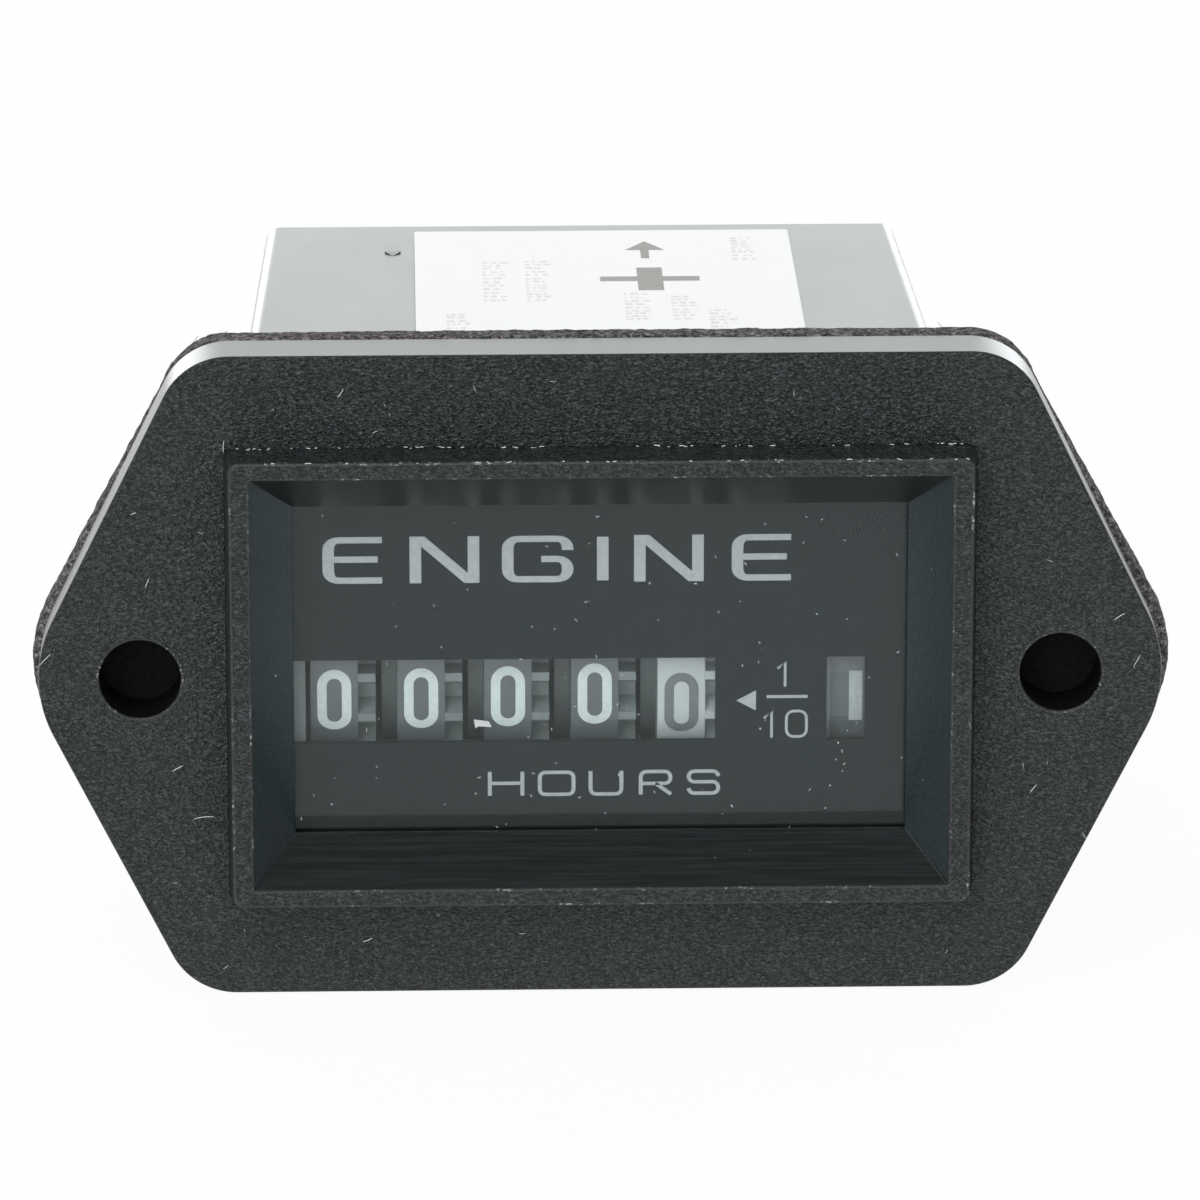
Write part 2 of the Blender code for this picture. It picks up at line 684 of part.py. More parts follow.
def build_front_pieces():
    """Lens, dial plate and gasket, which the screws pierce when the meter is fitted."""
    half_w = DIAL_HALF_W + LENS_LIP
    half_h = DIAL_HALF_H + LENS_LIP
    outer = box_outline(-half_w, half_w, DIAL_RISE - half_h, DIAL_RISE + half_h)
    part("lens", flat([outer], LENS_T), upright(LENS_FRONT, LENS_FRONT + LENS_T), CLEAR)

    low = WHEEL_Z + WINDOW_RISE - WINDOW_HALF_H
    high = WHEEL_Z + WINDOW_RISE + WINDOW_HALF_H
    counter = box_outline(FIRST_X - WINDOW_LEFT, LAST_X + WINDOW_RIGHT, low, high)
    indicator = box_outline(INDICATOR_X - RUN_WINDOW_HALF_W, INDICATOR_X + RUN_WINDOW_HALF_W, low, high)
    part("dial_plate", flat([outer, counter, indicator], DIAL_T), upright(DIAL_FRONT, DIAL_REAR), DARK)

    half_w, half_h = body_half(FLANGE_REAR)
    half_w += GAP
    half_h += GAP
    reach = half_w + PAD_PROUD
    opening = box_outline(-reach, reach, DIAL_RISE - half_h, DIAL_RISE + half_h, BODY_EDGE_R)
    ring = flat([flange_outline(GASKET_EXTRA), opening], GASKET_T)
    part("gasket", ring, upright(-GASKET_T, 0.0), FOAM)


def build_label():
    """The rating label, lying along the sloping top of the tub."""
    length = LABEL_L
    outline = box_outline(LABEL_LEFT, LABEL_RIGHT, -length / 2, length / 2, LABEL_R)
    y_mid = BODY_REAR - LABEL_REAR - length / 2
    z_mid = DIAL_RISE + body_half(y_mid)[1] + LABEL_GAP + LABEL_T / 2
    slope = -math.atan(BODY_DRAFT_Z)
    place = Matrix.Translation((0.0, y_mid, z_mid)) @ Matrix.Rotation(slope, 4, "X")
    part("rating_label", flat([outline], LABEL_T), place, WHITE)


def rim_profile(half):
    """A plain wheel's closed profile, from its bore to its rim."""
    bore = SHAFT_R + RUN
    return profile([(bore, half), (WHEEL_R, half), (WHEEL_R, -half), (bore, -half)], True)


def counterbore():
    """The wider hole in the discs beside a rim."""
    return circle(0.0, 0.0, SHAFT_R + RUN + COUNTERBORE, SMALL_STEPS)


def build_number_wheel(index):
    """One number wheel: rim, gear disc on its right and two carry teeth on its left."""
    name = "number_wheel_" + WHEEL_NAMES[index]
    x = FIRST_X + index * WHEEL_PITCH
    look = WHITE if index == WHEEL_COUNT - 1 else BLACK
    place = Matrix.Translation((x, *WHEEL_AXIS)) @ ACROSS
    wheel = part(name, rim_profile(RIM_HALF), place, look)
    lathe(wheel, WHEEL_STEPS)
    teeth = gear_outline(WHEEL_TEETH, COARSE_MODULE, math.pi / WHEEL_TEETH)
    join_gear(wheel, name + "_gear", [teeth, counterbore()], x + RIM_HALF - GAP, x + RIM_HALF + WHEEL_GEAR_W,
              WHEEL_AXIS)
    if index > 0:
        join_gear(wheel, name + "_carry", [carry_outline(), counterbore()], x - RIM_HALF - CARRY_W,
                  x - RIM_HALF + GAP, WHEEL_AXIS)


def carry_outline():
    """A disc with two teeth, which end short of the transfer pinion's tip circle."""
    outline = []
    for step in range(CARRY_STEPS):
        angle = 2 * math.pi * step / CARRY_STEPS
        outline.append((CARRY_ROOT_R * math.cos(angle), CARRY_ROOT_R * math.sin(angle)))
        if step in (0, 1):
            middle = angle + math.pi / CARRY_STEPS
            for offset in (-CARRY_TOOTH_HALF, CARRY_TOOTH_HALF):
                side = middle + offset
                outline.append((CARRY_TIP_R * math.cos(side), CARRY_TIP_R * math.sin(side)))
    return outline


def build_transfer_pinion(index):
    """The pinion that carries from wheel index + 1 to wheel index."""
    left = FIRST_X + index * WHEEL_PITCH + RIM_HALF + GAP
    right = left + WHEEL_PITCH - 2 * (RIM_HALF + GAP)
    split = left - GAP + WHEEL_GEAR_W + RUN
    bore = circle(0.0, 0.0, PINION_SHAFT_R + RUN, SMALL_STEPS)
    full = flat([gear_outline(TRANSFER_TEETH, COARSE_MODULE, 0.0), bore], split - left)
    name = "transfer_pinion_%d" % (index + 1)
    pinion = part(name, full, across(left, split, TRANSFER_AXIS), NATURAL)
    every_second = [gear_outline(TRANSFER_TEETH, COARSE_MODULE, 0.0, 2), bore]
    join_gear(pinion, name + "_long_teeth", every_second, split, right, TRANSFER_AXIS)


def build_counter():
    """Number wheels, transfer pinions and their two shafts."""
    for index in range(WHEEL_COUNT):
        build_number_wheel(index)
    for index in range(WHEEL_COUNT - 1):
        build_transfer_pinion(index)
    outer = PLATE_X + PLATE_T
    rod("number_wheel_shaft", SHAFT_R, -outer, outer, WHEEL_AXIS, STEEL)
    rod("pinion_shaft", PINION_SHAFT_R, -outer, MIDDLE_X + PLATE_T, TRANSFER_AXIS, STEEL, SMALL_STEPS)


def build_gear_train():
    """Rotor pinion, intermediate gear, drive gear and the indicator wheel that they turn."""
    outer = PLATE_X + PLATE_T
    wheel_phase = math.pi / WHEEL_TEETH
    drive_left = LAST_X + RIM_HALF + GAP
    drive_right = DRIVE_X + DRIVE_GEAR_W + GAP
    drive = rod("drive_gear", ARBOR_R, -outer, drive_right, DRIVE_AXIS, BRASS, SMALL_STEPS)
    tenths_phase = mesh_phase(wheel_phase, WHEEL_TEETH, TENTHS_PINION_TEETH, TO_DRIVE)
    join_gear(drive, "tenths_pinion", [gear_outline(TENTHS_PINION_TEETH, COARSE_MODULE, tenths_phase)],
              drive_left, MIDDLE_X - GAP, DRIVE_AXIS)
    join_gear(drive, "drive_teeth", [gear_outline(DRIVE_TEETH, FINE_MODULE, 0.0)],
              DRIVE_X, DRIVE_X + DRIVE_GEAR_W, DRIVE_AXIS)

    middle = rod("intermediate_gear", ARBOR_R, MIDDLE_X, outer, MIDDLE_AXIS, NATURAL, SMALL_STEPS)
    to_middle = math.atan2(MIDDLE_AXIS[1] - DRIVE_AXIS[1], MIDDLE_AXIS[0] - DRIVE_AXIS[0])
    middle_phase = mesh_phase(0.0, DRIVE_TEETH, FINE_PINION_TEETH, to_middle)
    join_gear(middle, "middle_pinion", [gear_outline(FINE_PINION_TEETH, FINE_MODULE, middle_phase)],
              DRIVE_X - RUN / 2, FINE_X + GAP, MIDDLE_AXIS)
    join_gear(middle, "middle_teeth", [gear_outline(MIDDLE_TEETH, FINE_MODULE, 0.0)],
              FINE_X, FINE_X + FINE_GEAR_W, MIDDLE_AXIS)

    build_indicator()
    build_rotor()


def build_indicator():
    """The run indicator: a rim with its gear disc on the left and a hub on the right."""
    place = Matrix.Translation((INDICATOR_X, *WHEEL_AXIS)) @ ACROSS
    wheel = part("run_indicator", rim_profile(INDICATOR_HALF), place, BLACK)
    lathe(wheel, WHEEL_STEPS)
    phase = mesh_phase(0.0, MIDDLE_TEETH, INDICATOR_TEETH, TRAIN_ANGLE + math.pi)
    teeth = [gear_outline(INDICATOR_TEETH, FINE_MODULE, phase), counterbore()]
    join_gear(wheel, "indicator_teeth", teeth, FINE_X, FINE_X + FINE_GEAR_W, WHEEL_AXIS)
    left_neck = [circle(0.0, 0.0, HUB_R, ROUND_STEPS), counterbore()]
    left_x = FINE_X + FINE_GEAR_W / 2
    join_gear(wheel, "indicator_neck", left_neck, left_x, INDICATOR_X - INDICATOR_HALF + GAP, WHEEL_AXIS)
    right_hub = [circle(0.0, 0.0, HUB_R, ROUND_STEPS), counterbore()]
    right_x = INDICATOR_X + INDICATOR_HALF - GAP
    join_gear(wheel, "indicator_hub", right_hub, right_x, PLATE_X - GAP, WHEEL_AXIS)


def build_rotor():
    """The magnet on its arbor, with the pinion that drives the train."""
    outer = PLATE_X + PLATE_T
    rotor = rod("rotor", ARBOR_R, MIDDLE_X, outer, ROTOR_AXIS, STEEL, SMALL_STEPS)
    phase = mesh_phase(0.0, MIDDLE_TEETH, FINE_PINION_TEETH, ROTOR_ANGLE)
    join_gear(rotor, "rotor_pinion", [gear_outline(FINE_PINION_TEETH, FINE_MODULE, phase)],
              FINE_X - RUN, FINE_X + FINE_GEAR_W + RUN, ROTOR_AXIS)
    join_rod(rotor, "magnet", MAGNET_R, INDICATOR_X - MAGNET_HALF, INDICATOR_X + MAGNET_HALF, ROTOR_AXIS,
             ROUND_STEPS)


def rod_places():
    """The (y, z) places of the rods: two in the plates' front corners, two in the stator's."""
    inset = ROD_R + RUN + FRONT_ROD_WEB
    front = PLATE_FRONT + inset
    reach = PLATE_HALF_H - inset
    rear_inset = ROD_R + RUN + REAR_ROD_WEB
    rear = STATOR_Y0 + rear_inset
    rear_z = STATOR_HALF_H - rear_inset
    return [(front, DIAL_RISE + reach), (front, DIAL_RISE - reach), (rear, rear_z), (rear, -rear_z)]


def build_plates():
    """Three plates that carry the shafts, and the rods that tie them."""
    low = DIAL_RISE - PLATE_HALF_H
    high = DIAL_RISE + PLATE_HALF_H
    rods = [circle(y, z, ROD_R + RUN, SMALL_STEPS) for y, z in rod_places()]
    wheels = circle(*WHEEL_AXIS, SHAFT_R + RUN, SMALL_STEPS)
    pinions = circle(*TRANSFER_AXIS, PINION_SHAFT_R + RUN, SMALL_STEPS)
    drive = circle(*DRIVE_AXIS, ARBOR_R + RUN, SMALL_STEPS)
    arbors = [circle(*axis, ARBOR_R + RUN, SMALL_STEPS) for axis in (MIDDLE_AXIS, ROTOR_AXIS)]
    long_plate = box_outline(PLATE_FRONT, PLATE_REAR, low, high, ROD_R)
    short_plate = box_outline(PLATE_FRONT, STATOR_Y1, low, high, ROD_R)
    left = flat([long_plate, wheels, pinions, drive] + rods, PLATE_T)
    part("left_plate", left, across(-PLATE_X - PLATE_T, -PLATE_X), NATURAL)
    middle = flat([short_plate, wheels, pinions, drive] + arbors + rods, PLATE_T)
    part("middle_plate", middle, across(MIDDLE_X, MIDDLE_X + PLATE_T), NATURAL)
    right = flat([long_plate, wheels] + arbors + rods, PLATE_T)
    part("right_plate", right, across(PLATE_X, PLATE_X + PLATE_T), NATURAL)
    outer = PLATE_X + PLATE_T
    for number, place in enumerate(rod_places(), 1):
        rod("tie_rod_%d" % number, ROD_R, -outer, outer, place, STEEL, SMALL_STEPS)


def build_motor():
    """Stator plate, coil core, bobbin and winding of the stepping motor."""
    x0 = INDICATOR_X - STATOR_T / 2
    x1 = INDICATOR_X + STATOR_T / 2
    inner = STATOR_HALF_H - STATOR_ARM
    end = COIL_Y + CORE_W / 2
    corners = [(STATOR_Y0, -STATOR_HALF_H), (end, -STATOR_HALF_H), (end, -inner), (STATOR_Y1, -inner),
               (STATOR_Y1, inner), (end, inner), (end, STATOR_HALF_H), (STATOR_Y0, STATOR_HALF_H)]
    rods = [circle(y, z, ROD_R + RUN, SMALL_STEPS) for y, z in rod_places()[2:]]
    bore = circle(*ROTOR_AXIS, MAGNET_R + AIR_GAP, ROUND_STEPS)
    part("stator_plate", flat([corners, bore] + rods, STATOR_T), across(x0, x1), STEEL)

    core_x1 = x0 - GAP
    core_x0 = core_x1 - CORE_T
    y0 = COIL_Y - CORE_W / 2
    y1 = COIL_Y + CORE_W / 2
    core = cube((core_x0, y0, -STATOR_HALF_H), (core_x1, y1, STATOR_HALF_H))
    part("coil_core", core, LEVEL, STEEL)

    def ring(grow, hole):
        outer = box_outline(core_x0 - grow, core_x1 + grow, y0 - grow, y1 + grow, RUN)
        inside = box_outline(core_x0 - hole, core_x1 + hole, y0 - hole, y1 + hole)
        return [outer, inside]

    spool_top = inner - GAP
    tube = RUN + BOBBIN_WALL
    bobbin = part("coil_bobbin", flat(ring(tube, RUN), 2 * spool_top), level(-spool_top, spool_top), DARK)
    for side in (-1, 1):
        edge = side * spool_top
        inward = edge - side * BOBBIN_FLANGE_T
        outward = edge + side * RUN / 2
        flange = flat(ring(tube + BOBBIN_FLANGE, RUN * 2), abs(outward - inward))
        change(bobbin, tool("spool_flange", flange, level(inward, outward)), "UNION")
    wound = spool_top - BOBBIN_FLANGE_T - RUN
    coil = flat(ring(tube + RUN + WINDING_DEPTH, tube + RUN), 2 * wound)
    part("coil_winding", coil, level(-wound, wound), COPPER)


def lead_profile(radius, length, reach):
    """Profile of a round body with a wire at each end, about its middle."""
    half = length / 2
    end = half + reach
    return profile([(0.0, end), (LEAD_R, end), (LEAD_R, half), (radius, half), (radius, -half),
                    (LEAD_R, -half), (LEAD_R, -end), (0.0, -end)], False)


def build_board():
    """The circuit board and the parts on its front face."""
    slots = [blade_slot(side, RUN) for side in (-1, 1)]
    outer = box_outline(-BOARD_HALF_W, BOARD_HALF_W, -BOARD_HALF_H, BOARD_HALF_H)
    part("circuit_board", flat([outer] + slots, BOARD_T), upright(BOARD_FRONT, BOARD_REAR), GREEN)

    face = BOARD_FRONT - RUN
    build_chip(face)
    side = -BOARD_HALF_W
    foot = -BOARD_HALF_H
    crystal_at = Matrix.Translation((side + CRYSTAL_FROM_SIDE, face - CRYSTAL_R, foot + CRYSTAL_FROM_FOOT))
    crystal = part("quartz_crystal", lead_profile(CRYSTAL_R, CRYSTAL_L, 0.0), crystal_at @ ACROSS, TINNED)
    lathe(crystal, ROUND_STEPS)
    diode_at = Matrix.Translation((DIODE_X, face - DIODE_R, foot + DIODE_FROM_FOOT))
    diode = part("protection_diode", lead_profile(DIODE_R, DIODE_L, LEAD_REACH), diode_at @ ACROSS, BLACK)
    lathe(diode, SMALL_STEPS)
    resistor_at = Matrix.Translation((RESISTOR_X, face - RESISTOR_R, RESISTOR_Z))
    wires = lead_profile(RESISTOR_R, RESISTOR_L, LEAD_REACH)
    resistor = part("dropping_resistor", wires, resistor_at, NATURAL)
    lathe(resistor, SMALL_STEPS)
    can_z = BOARD_HALF_H - CAPACITOR_FROM_TOP
    can_at = Matrix.Translation((side + CAPACITOR_FROM_SIDE, face - CAPACITOR_L / 2, can_z))
    capacitor = part("filter_capacitor", rod_profile(CAPACITOR_R, 0.0, CAPACITOR_L), can_at @ UPRIGHT, DARK)
    lathe(capacitor, ROUND_STEPS)


def build_chip(face):
    """The control chip with its legs, lying against a face of the board."""
    half_w = CHIP_W / 2
    low = CHIP_Z - CHIP_H / 2
    body = cube((CHIP_X - half_w, face - CHIP_T, low), (CHIP_X + half_w, face, low + CHIP_H))
    chip = part("control_chip", body, LEVEL, BLACK)
    reach = half_w + LEAD_REACH / 2
    near = face - CHIP_LEG_LIFT
    for leg in range(CHIP_LEGS):
        z = low + CHIP_H * (leg + 0.5) / CHIP_LEGS
        shape = cube((CHIP_X - reach, near - CHIP_LEG_T, z - LEAD_R), (CHIP_X + reach, near, z + LEAD_R))
        change(chip, tool("chip_leg", shape, LEVEL), "UNION")


def blade_slot(side, play):
    """Outline of a blade's section, grown by some play."""
    x = side * BLADE_X
    half_t = BLADE_T / 2 + play
    half_w = BLADE_W / 2 + play
    return box_outline(x - half_t, x + half_t, -half_w, half_w)


def build_rear():
    """The plug-in rear cover with its legs and collars, and the two blades."""
    front = [half - GAP for half in inner_half(COVER_FRONT)]
    rear = [half - GAP for half in inner_half(COVER_REAR)]
    cover = part("rear_cover", taper(front, rear, COVER_FRONT, COVER_REAR, DIAL_RISE), LEVEL, BLACK)
    for x in (-LEG_X, LEG_X):
        for z in (-LEG_Z, LEG_Z):
            leg = flat([circle(x, z, LEG_R, SMALL_STEPS)], LEG_LENGTH + COVER_T / 2)
            place = upright(COVER_FRONT - LEG_LENGTH, COVER_FRONT + COVER_T / 2)
            change(cover, tool("cover_leg", leg, place), "UNION")
    for side in (-1, 1):
        collar = flat([blade_slot(side, RUN + COLLAR_WALL)], COLLAR_H + COVER_T / 2)
        place = upright(COVER_REAR - COVER_T / 2, COVER_REAR + COLLAR_H)
        change(cover, tool("collar", collar, place), "UNION")
        slot = flat([blade_slot(side, RUN)], COVER_T + 2 * COLLAR_H)
        place = upright(COVER_FRONT - COLLAR_H, COVER_REAR + COLLAR_H * 2)
        change(cover, tool("blade_slot", slot, place), "DIFFERENCE")

    tip = BODY_REAR + BLADE_OUT
    root = BOARD_FRONT - BLADE_IN
    half = BLADE_W / 2
    blade = [(root, -half), (tip - BLADE_TIP, -half), (tip, -half + BLADE_TIP), (tip, half - BLADE_TIP),
             (tip - BLADE_TIP, half), (root, half)]
    hole = circle(tip - BLADE_HOLE_BACK, 0.0, BLADE_HOLE_R, SMALL_STEPS)
    for name, side in (("terminal_negative", -1), ("terminal_positive", 1)):
        x = side * BLADE_X
        part(name, flat([blade, hole], BLADE_T), across(x - BLADE_T / 2, x + BLADE_T / 2), BRASS)


def main():
    """Build every piece."""
    build_housing()
    build_front_pieces()
    build_label()
    build_counter()
    build_gear_train()
    build_plates()
    build_motor()
    build_board()
    build_rear()
    for piece in PARTS.objects:
        if piece.data.polygons:
            smooth(piece.data)


main()
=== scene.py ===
"""Hour meter: fine forms, finishes, camera and light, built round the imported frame."""
import random
from math import atan2, ceil, copysign, cos, hypot, pi, radians, sin

import bmesh
import bpy
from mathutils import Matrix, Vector, noise


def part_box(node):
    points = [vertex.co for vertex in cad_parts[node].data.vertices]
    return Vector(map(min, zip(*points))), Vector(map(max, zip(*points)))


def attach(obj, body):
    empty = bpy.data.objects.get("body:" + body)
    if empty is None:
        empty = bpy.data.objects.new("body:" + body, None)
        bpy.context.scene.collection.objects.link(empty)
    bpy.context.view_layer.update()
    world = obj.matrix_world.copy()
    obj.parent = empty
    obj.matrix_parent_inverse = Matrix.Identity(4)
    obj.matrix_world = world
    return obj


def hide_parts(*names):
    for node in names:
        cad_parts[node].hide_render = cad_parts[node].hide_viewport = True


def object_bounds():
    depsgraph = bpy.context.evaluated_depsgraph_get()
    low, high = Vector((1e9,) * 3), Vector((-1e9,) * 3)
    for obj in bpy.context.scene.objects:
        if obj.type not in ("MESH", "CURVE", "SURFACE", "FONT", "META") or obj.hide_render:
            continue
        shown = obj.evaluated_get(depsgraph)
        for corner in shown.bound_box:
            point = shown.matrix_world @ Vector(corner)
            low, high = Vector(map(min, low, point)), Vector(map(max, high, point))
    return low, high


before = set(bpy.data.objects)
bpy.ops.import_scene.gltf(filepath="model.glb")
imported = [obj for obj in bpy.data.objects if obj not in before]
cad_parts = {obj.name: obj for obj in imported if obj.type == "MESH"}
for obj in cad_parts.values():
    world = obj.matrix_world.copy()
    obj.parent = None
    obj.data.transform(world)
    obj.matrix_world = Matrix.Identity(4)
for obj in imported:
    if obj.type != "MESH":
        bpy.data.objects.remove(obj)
CAD_LOW, CAD_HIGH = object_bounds()
MM = 0.001

# Camera, found by fitting the flange's outline in the photograph
CAMERA_AT = (-0.011189, -0.44379, 0.148653)
CAMERA_LOOKS_AT = (-0.000048, -0.00485, 0.004413)
LENS_MM = 252.1
SENSOR_MM = 36.0

# Forms of the housing, in millimetres
HOLE_X = 25.4
HOLE_R = 2.25
TIP_X = 31.85
CORNER_X = 22.75
FLANGE_HALF_H = 18.5
TIP_R = 7.5
CORNER_R = 4.0
FLANGE_EDGE_R = 0.13
FLANGE_REAR_R = 0.1
FLANGE_FRONT = -4.85
FLANGE_REAR = -1.62
MIDDLE_Z = 0.13
FRAME_FRONT = -6.85
FRAME_HALF = (20.4, 12.89)
FRAME_DRAFT = 0.2
FRAME_CORNER_R = 0.55
FRAME_EDGE_R = 0.16
MOUTH_HALF = (19.22, 11.86)
MOUTH_EDGE_R = 0.13
DIAL_HALF = (16.95, 9.51)
FUNNEL_END = -3.95
POCKET_FRONT = -3.75
POCKET_HALF = (18.0, 10.56)
CAVITY_FRONT = -1.6
LIP_R = 0.14
GROOVE_W = 0.05
GROOVE_DEPTH = 0.06
BODY_REAR = 44.508
BODY_REAR_HALF = (18.89, 11.94)
BODY_DRAFT = (0.031, 0.018)
BODY_EDGE_R = 0.8
BODY_END_R = 0.4
WALL = 1.5
PAD_PROUD = 0.4
PAD_END = 25.0
PAD_RAMP = 2.0
PAD_SHORT = 0.7
NUB_X = -11.3
NUB_Y = (37.15, 37.95, 39.8)
NUB_W = 0.93
NUB_H = 0.1

# Gasket: how far it stands out beyond the flange at places across it, and its edge
GASKET_PROUD = ((-32.0, 0.46), (-31.0, 0.42), (-24.2, -0.06), (-21.0, 0.08), (21.0, 0.08), (24.2, -0.02),
                (31.0, 0.66), (32.0, 0.7))
GASKET_FRONT = -1.6
GASKET_GAP = 0.25
GASKET_STEP = 0.22
GASKET_EDGE_R = 0.3
GASKET_SUNK = 0.05
GASKET_FACE_INSET = 1.2
GASKET_EDGE_DEPTHS = (-1.1, -0.9, -0.7, -0.5, -0.3)
FIBRES = 170

# Dial and what is behind it
DIAL_FACE = -2.25
PRINT_T = 0.012
WHEEL_AXIS = (6.15, -2.4)
WHEEL_R = 7.5
RIM_HALF = 1.35
WHEEL_X = (-14.74, -9.91, -5.08, -0.25, 4.58)
WHEEL_NAMES = ("1000", "100", "10", "1", "tenths")
INDICATOR_X = 13.68
COARSE_TEETH = 20
COARSE_MODULE = 0.68
GEAR_W = 0.95
CARRY_W = 0.85
CARRY_TIP_R = 5.39
CARRY_ROOT_R = 4.62
CARRY_TOOTH = radians(4)
BORE_R = 0.9
TURN = 2 * pi


def new_object(name, data):
    """An object in the scene."""
    made = bpy.data.objects.new(name, data)
    bpy.context.scene.collection.objects.link(made)
    return made


def to_mesh(shape, name, looks, sharp):
    """Turn a shape drawn in millimetres into a mesh in metres, with smooth shading and its materials."""
    bmesh.ops.remove_doubles(shape, verts=shape.verts, dist=0.00002)
    bmesh.ops.recalc_face_normals(shape, faces=shape.faces)
    bmesh.ops.scale(shape, vec=(MM, MM, MM), verts=shape.verts)
    mesh = bpy.data.meshes.new(name)
    shape.to_mesh(mesh)
    shape.free()
    for look in looks:
        mesh.materials.append(look)
    mesh.shade_smooth()
    mesh.set_sharp_from_angle(angle=radians(sharp))
    return mesh


def new_piece(name, shape, looks, body, sharp=28):
    """An object of its own, made from a shape, that rides on a body."""
    piece = new_object(name, to_mesh(shape, name, looks, sharp))
    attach(piece, body)
    return piece


def weigh_normals(piece):
    """Keep large flat faces flat beside their rounded edges."""
    step = piece.modifiers.new("normals", "WEIGHTED_NORMAL")
    step.keep_sharp = True
    step.weight = 100


# Nodes of the materials

def preset(node, values):
    """Plain values on a node's sockets."""
    for key, value in values.items():
        node.inputs[key].default_value = value


def shader_of(look):
    """A material's Principled shader."""
    return look.node_tree.nodes["Principled BSDF"]


def material(name, colour, roughness, metallic=0.0):
    """A Principled material with its plain values."""
    look = bpy.data.materials.new(name)
    look.use_nodes = True
    preset(shader_of(look), {"Base Color": (*colour, 1.0), "Roughness": roughness, "Metallic": metallic})
    return look


def add_node(look, kind, **settings):
    """A node in the tree of a material or of the world."""
    made = look.node_tree.nodes.new("ShaderNode" + kind)
    for key, value in settings.items():
        setattr(made, key, value)
    return made


def join(look, source, target):
    """A link between two sockets."""
    look.node_tree.links.new(source, target)


def stretched(look, scale):
    """Object coordinates scaled by cycles per metre, one number for all axes or one for each."""
    place = add_node(look, "TexCoord")
    mapping = add_node(look, "Mapping")
    preset(mapping, {"Scale": scale if isinstance(scale, tuple) else (scale,) * 3})
    join(look, place.outputs["Object"], mapping.inputs["Vector"])
    return mapping.outputs["Vector"]


def cloudy(look, scale, detail=2.0, rough=0.5, distortion=0.0):
    """Noise with a size in cycles per metre."""
    made = add_node(look, "TexNoise")
    preset(made, {"Scale": 1.0, "Detail": detail, "Roughness": rough, "Distortion": distortion})
    join(look, stretched(look, scale), made.inputs["Vector"])
    return made.outputs["Fac"]


def cells(look, scale, spread=1.0):
    """Distance to scattered points, and each point's own random grey."""
    made = add_node(look, "TexVoronoi", feature="F1")
    preset(made, {"Scale": 1.0, "Randomness": spread})
    join(look, stretched(look, scale), made.inputs["Vector"])
    return made.outputs["Distance"], made.outputs["Color"]


def ramp(look, source, stops):
    """A colour ramp through (position, grey or colour) stops."""
    made = add_node(look, "ValToRGB")
    band = made.color_ramp
    while len(band.elements) < len(stops):
        band.elements.new(0.5)
    for element, (position, value) in zip(band.elements, stops):
        element.position = position
        colour = value if isinstance(value, tuple) else (value, value, value)
        element.color = (*colour, 1.0)
    join(look, source, made.inputs["Fac"])
    return made.outputs["Color"]


def combine(look, operation, first, second):
    """A grey value worked out from two others; each is a number or a socket."""
    made = add_node(look, "Math", operation=operation)
    for socket, value in zip(made.inputs, (first, second)):
        if isinstance(value, float):
            socket.default_value = value
        else:
            join(look, value, socket)
    return made.outputs["Value"]


def blend_colour(look, share, first, second):
    """One colour over another by a share; each is a colour or a socket."""
    made = add_node(look, "Mix", data_type="RGBA")
    join(look, share, made.inputs["Factor"])
    for socket, value in ((made.inputs[6], first), (made.inputs[7], second)):
        if isinstance(value, tuple):
            socket.default_value = (*value, 1.0)
        else:
            join(look, value, socket)
    return made.outputs[2]


def mix_shaders(look, share, first, second):
    """Show one shader over another by a share."""
    mix = add_node(look, "MixShader")
    for slot, socket in enumerate((share, first, second)):
        join(look, socket, mix.inputs[slot])
    join(look, mix.outputs["Shader"], look.node_tree.nodes["Material Output"].inputs["Surface"])


def colour_from(look, socket):
    """Feed the shader's base colour."""
    join(look, socket, shader_of(look).inputs["Base Color"])


def roughness_from(look, source, low, high):
    """Roughness that wanders between two values."""
    made = add_node(look, "MapRange")
    preset(made, {"To Min": low, "To Max": high})
    join(look, source, made.inputs["Value"])
    join(look, made.outputs["Result"], shader_of(look).inputs["Roughness"])


def bump(look, source, depth_mm, strength=1.0, after=None):
    """A tilted normal from a grey value; it can follow another."""
    made = add_node(look, "Bump")
    preset(made, {"Strength": strength, "Distance": depth_mm * MM})
    join(look, source, made.inputs["Height"])
    if after is not None:
        join(look, after, made.inputs["Normal"])
    return made.outputs["Normal"]


def relief(look, source, depth_mm, strength=1.0, after=None):
    """Bump on the Principled shader; a further bump can follow it."""
    normal = bump(look, source, depth_mm, strength, after)
    join(look, normal, shader_of(look).inputs["Normal"])
    return normal


def dust(look, per_mm, size, share):
    """White specks: a grey mask of small dots, few of the cells holding one."""
    distance, tint = cells(look, per_mm / MM)
    dot = ramp(look, distance, [(size * 0.6, 1.0), (size, 0.0)])
    chosen = ramp(look, tint, [(1 - share, 0.0), (1 - share + 0.02, 1.0)])
    return combine(look, "MULTIPLY", dot, chosen)


# Materials of the outside

COOL_SHEEN = (0.93, 0.99, 1.0, 1.0)


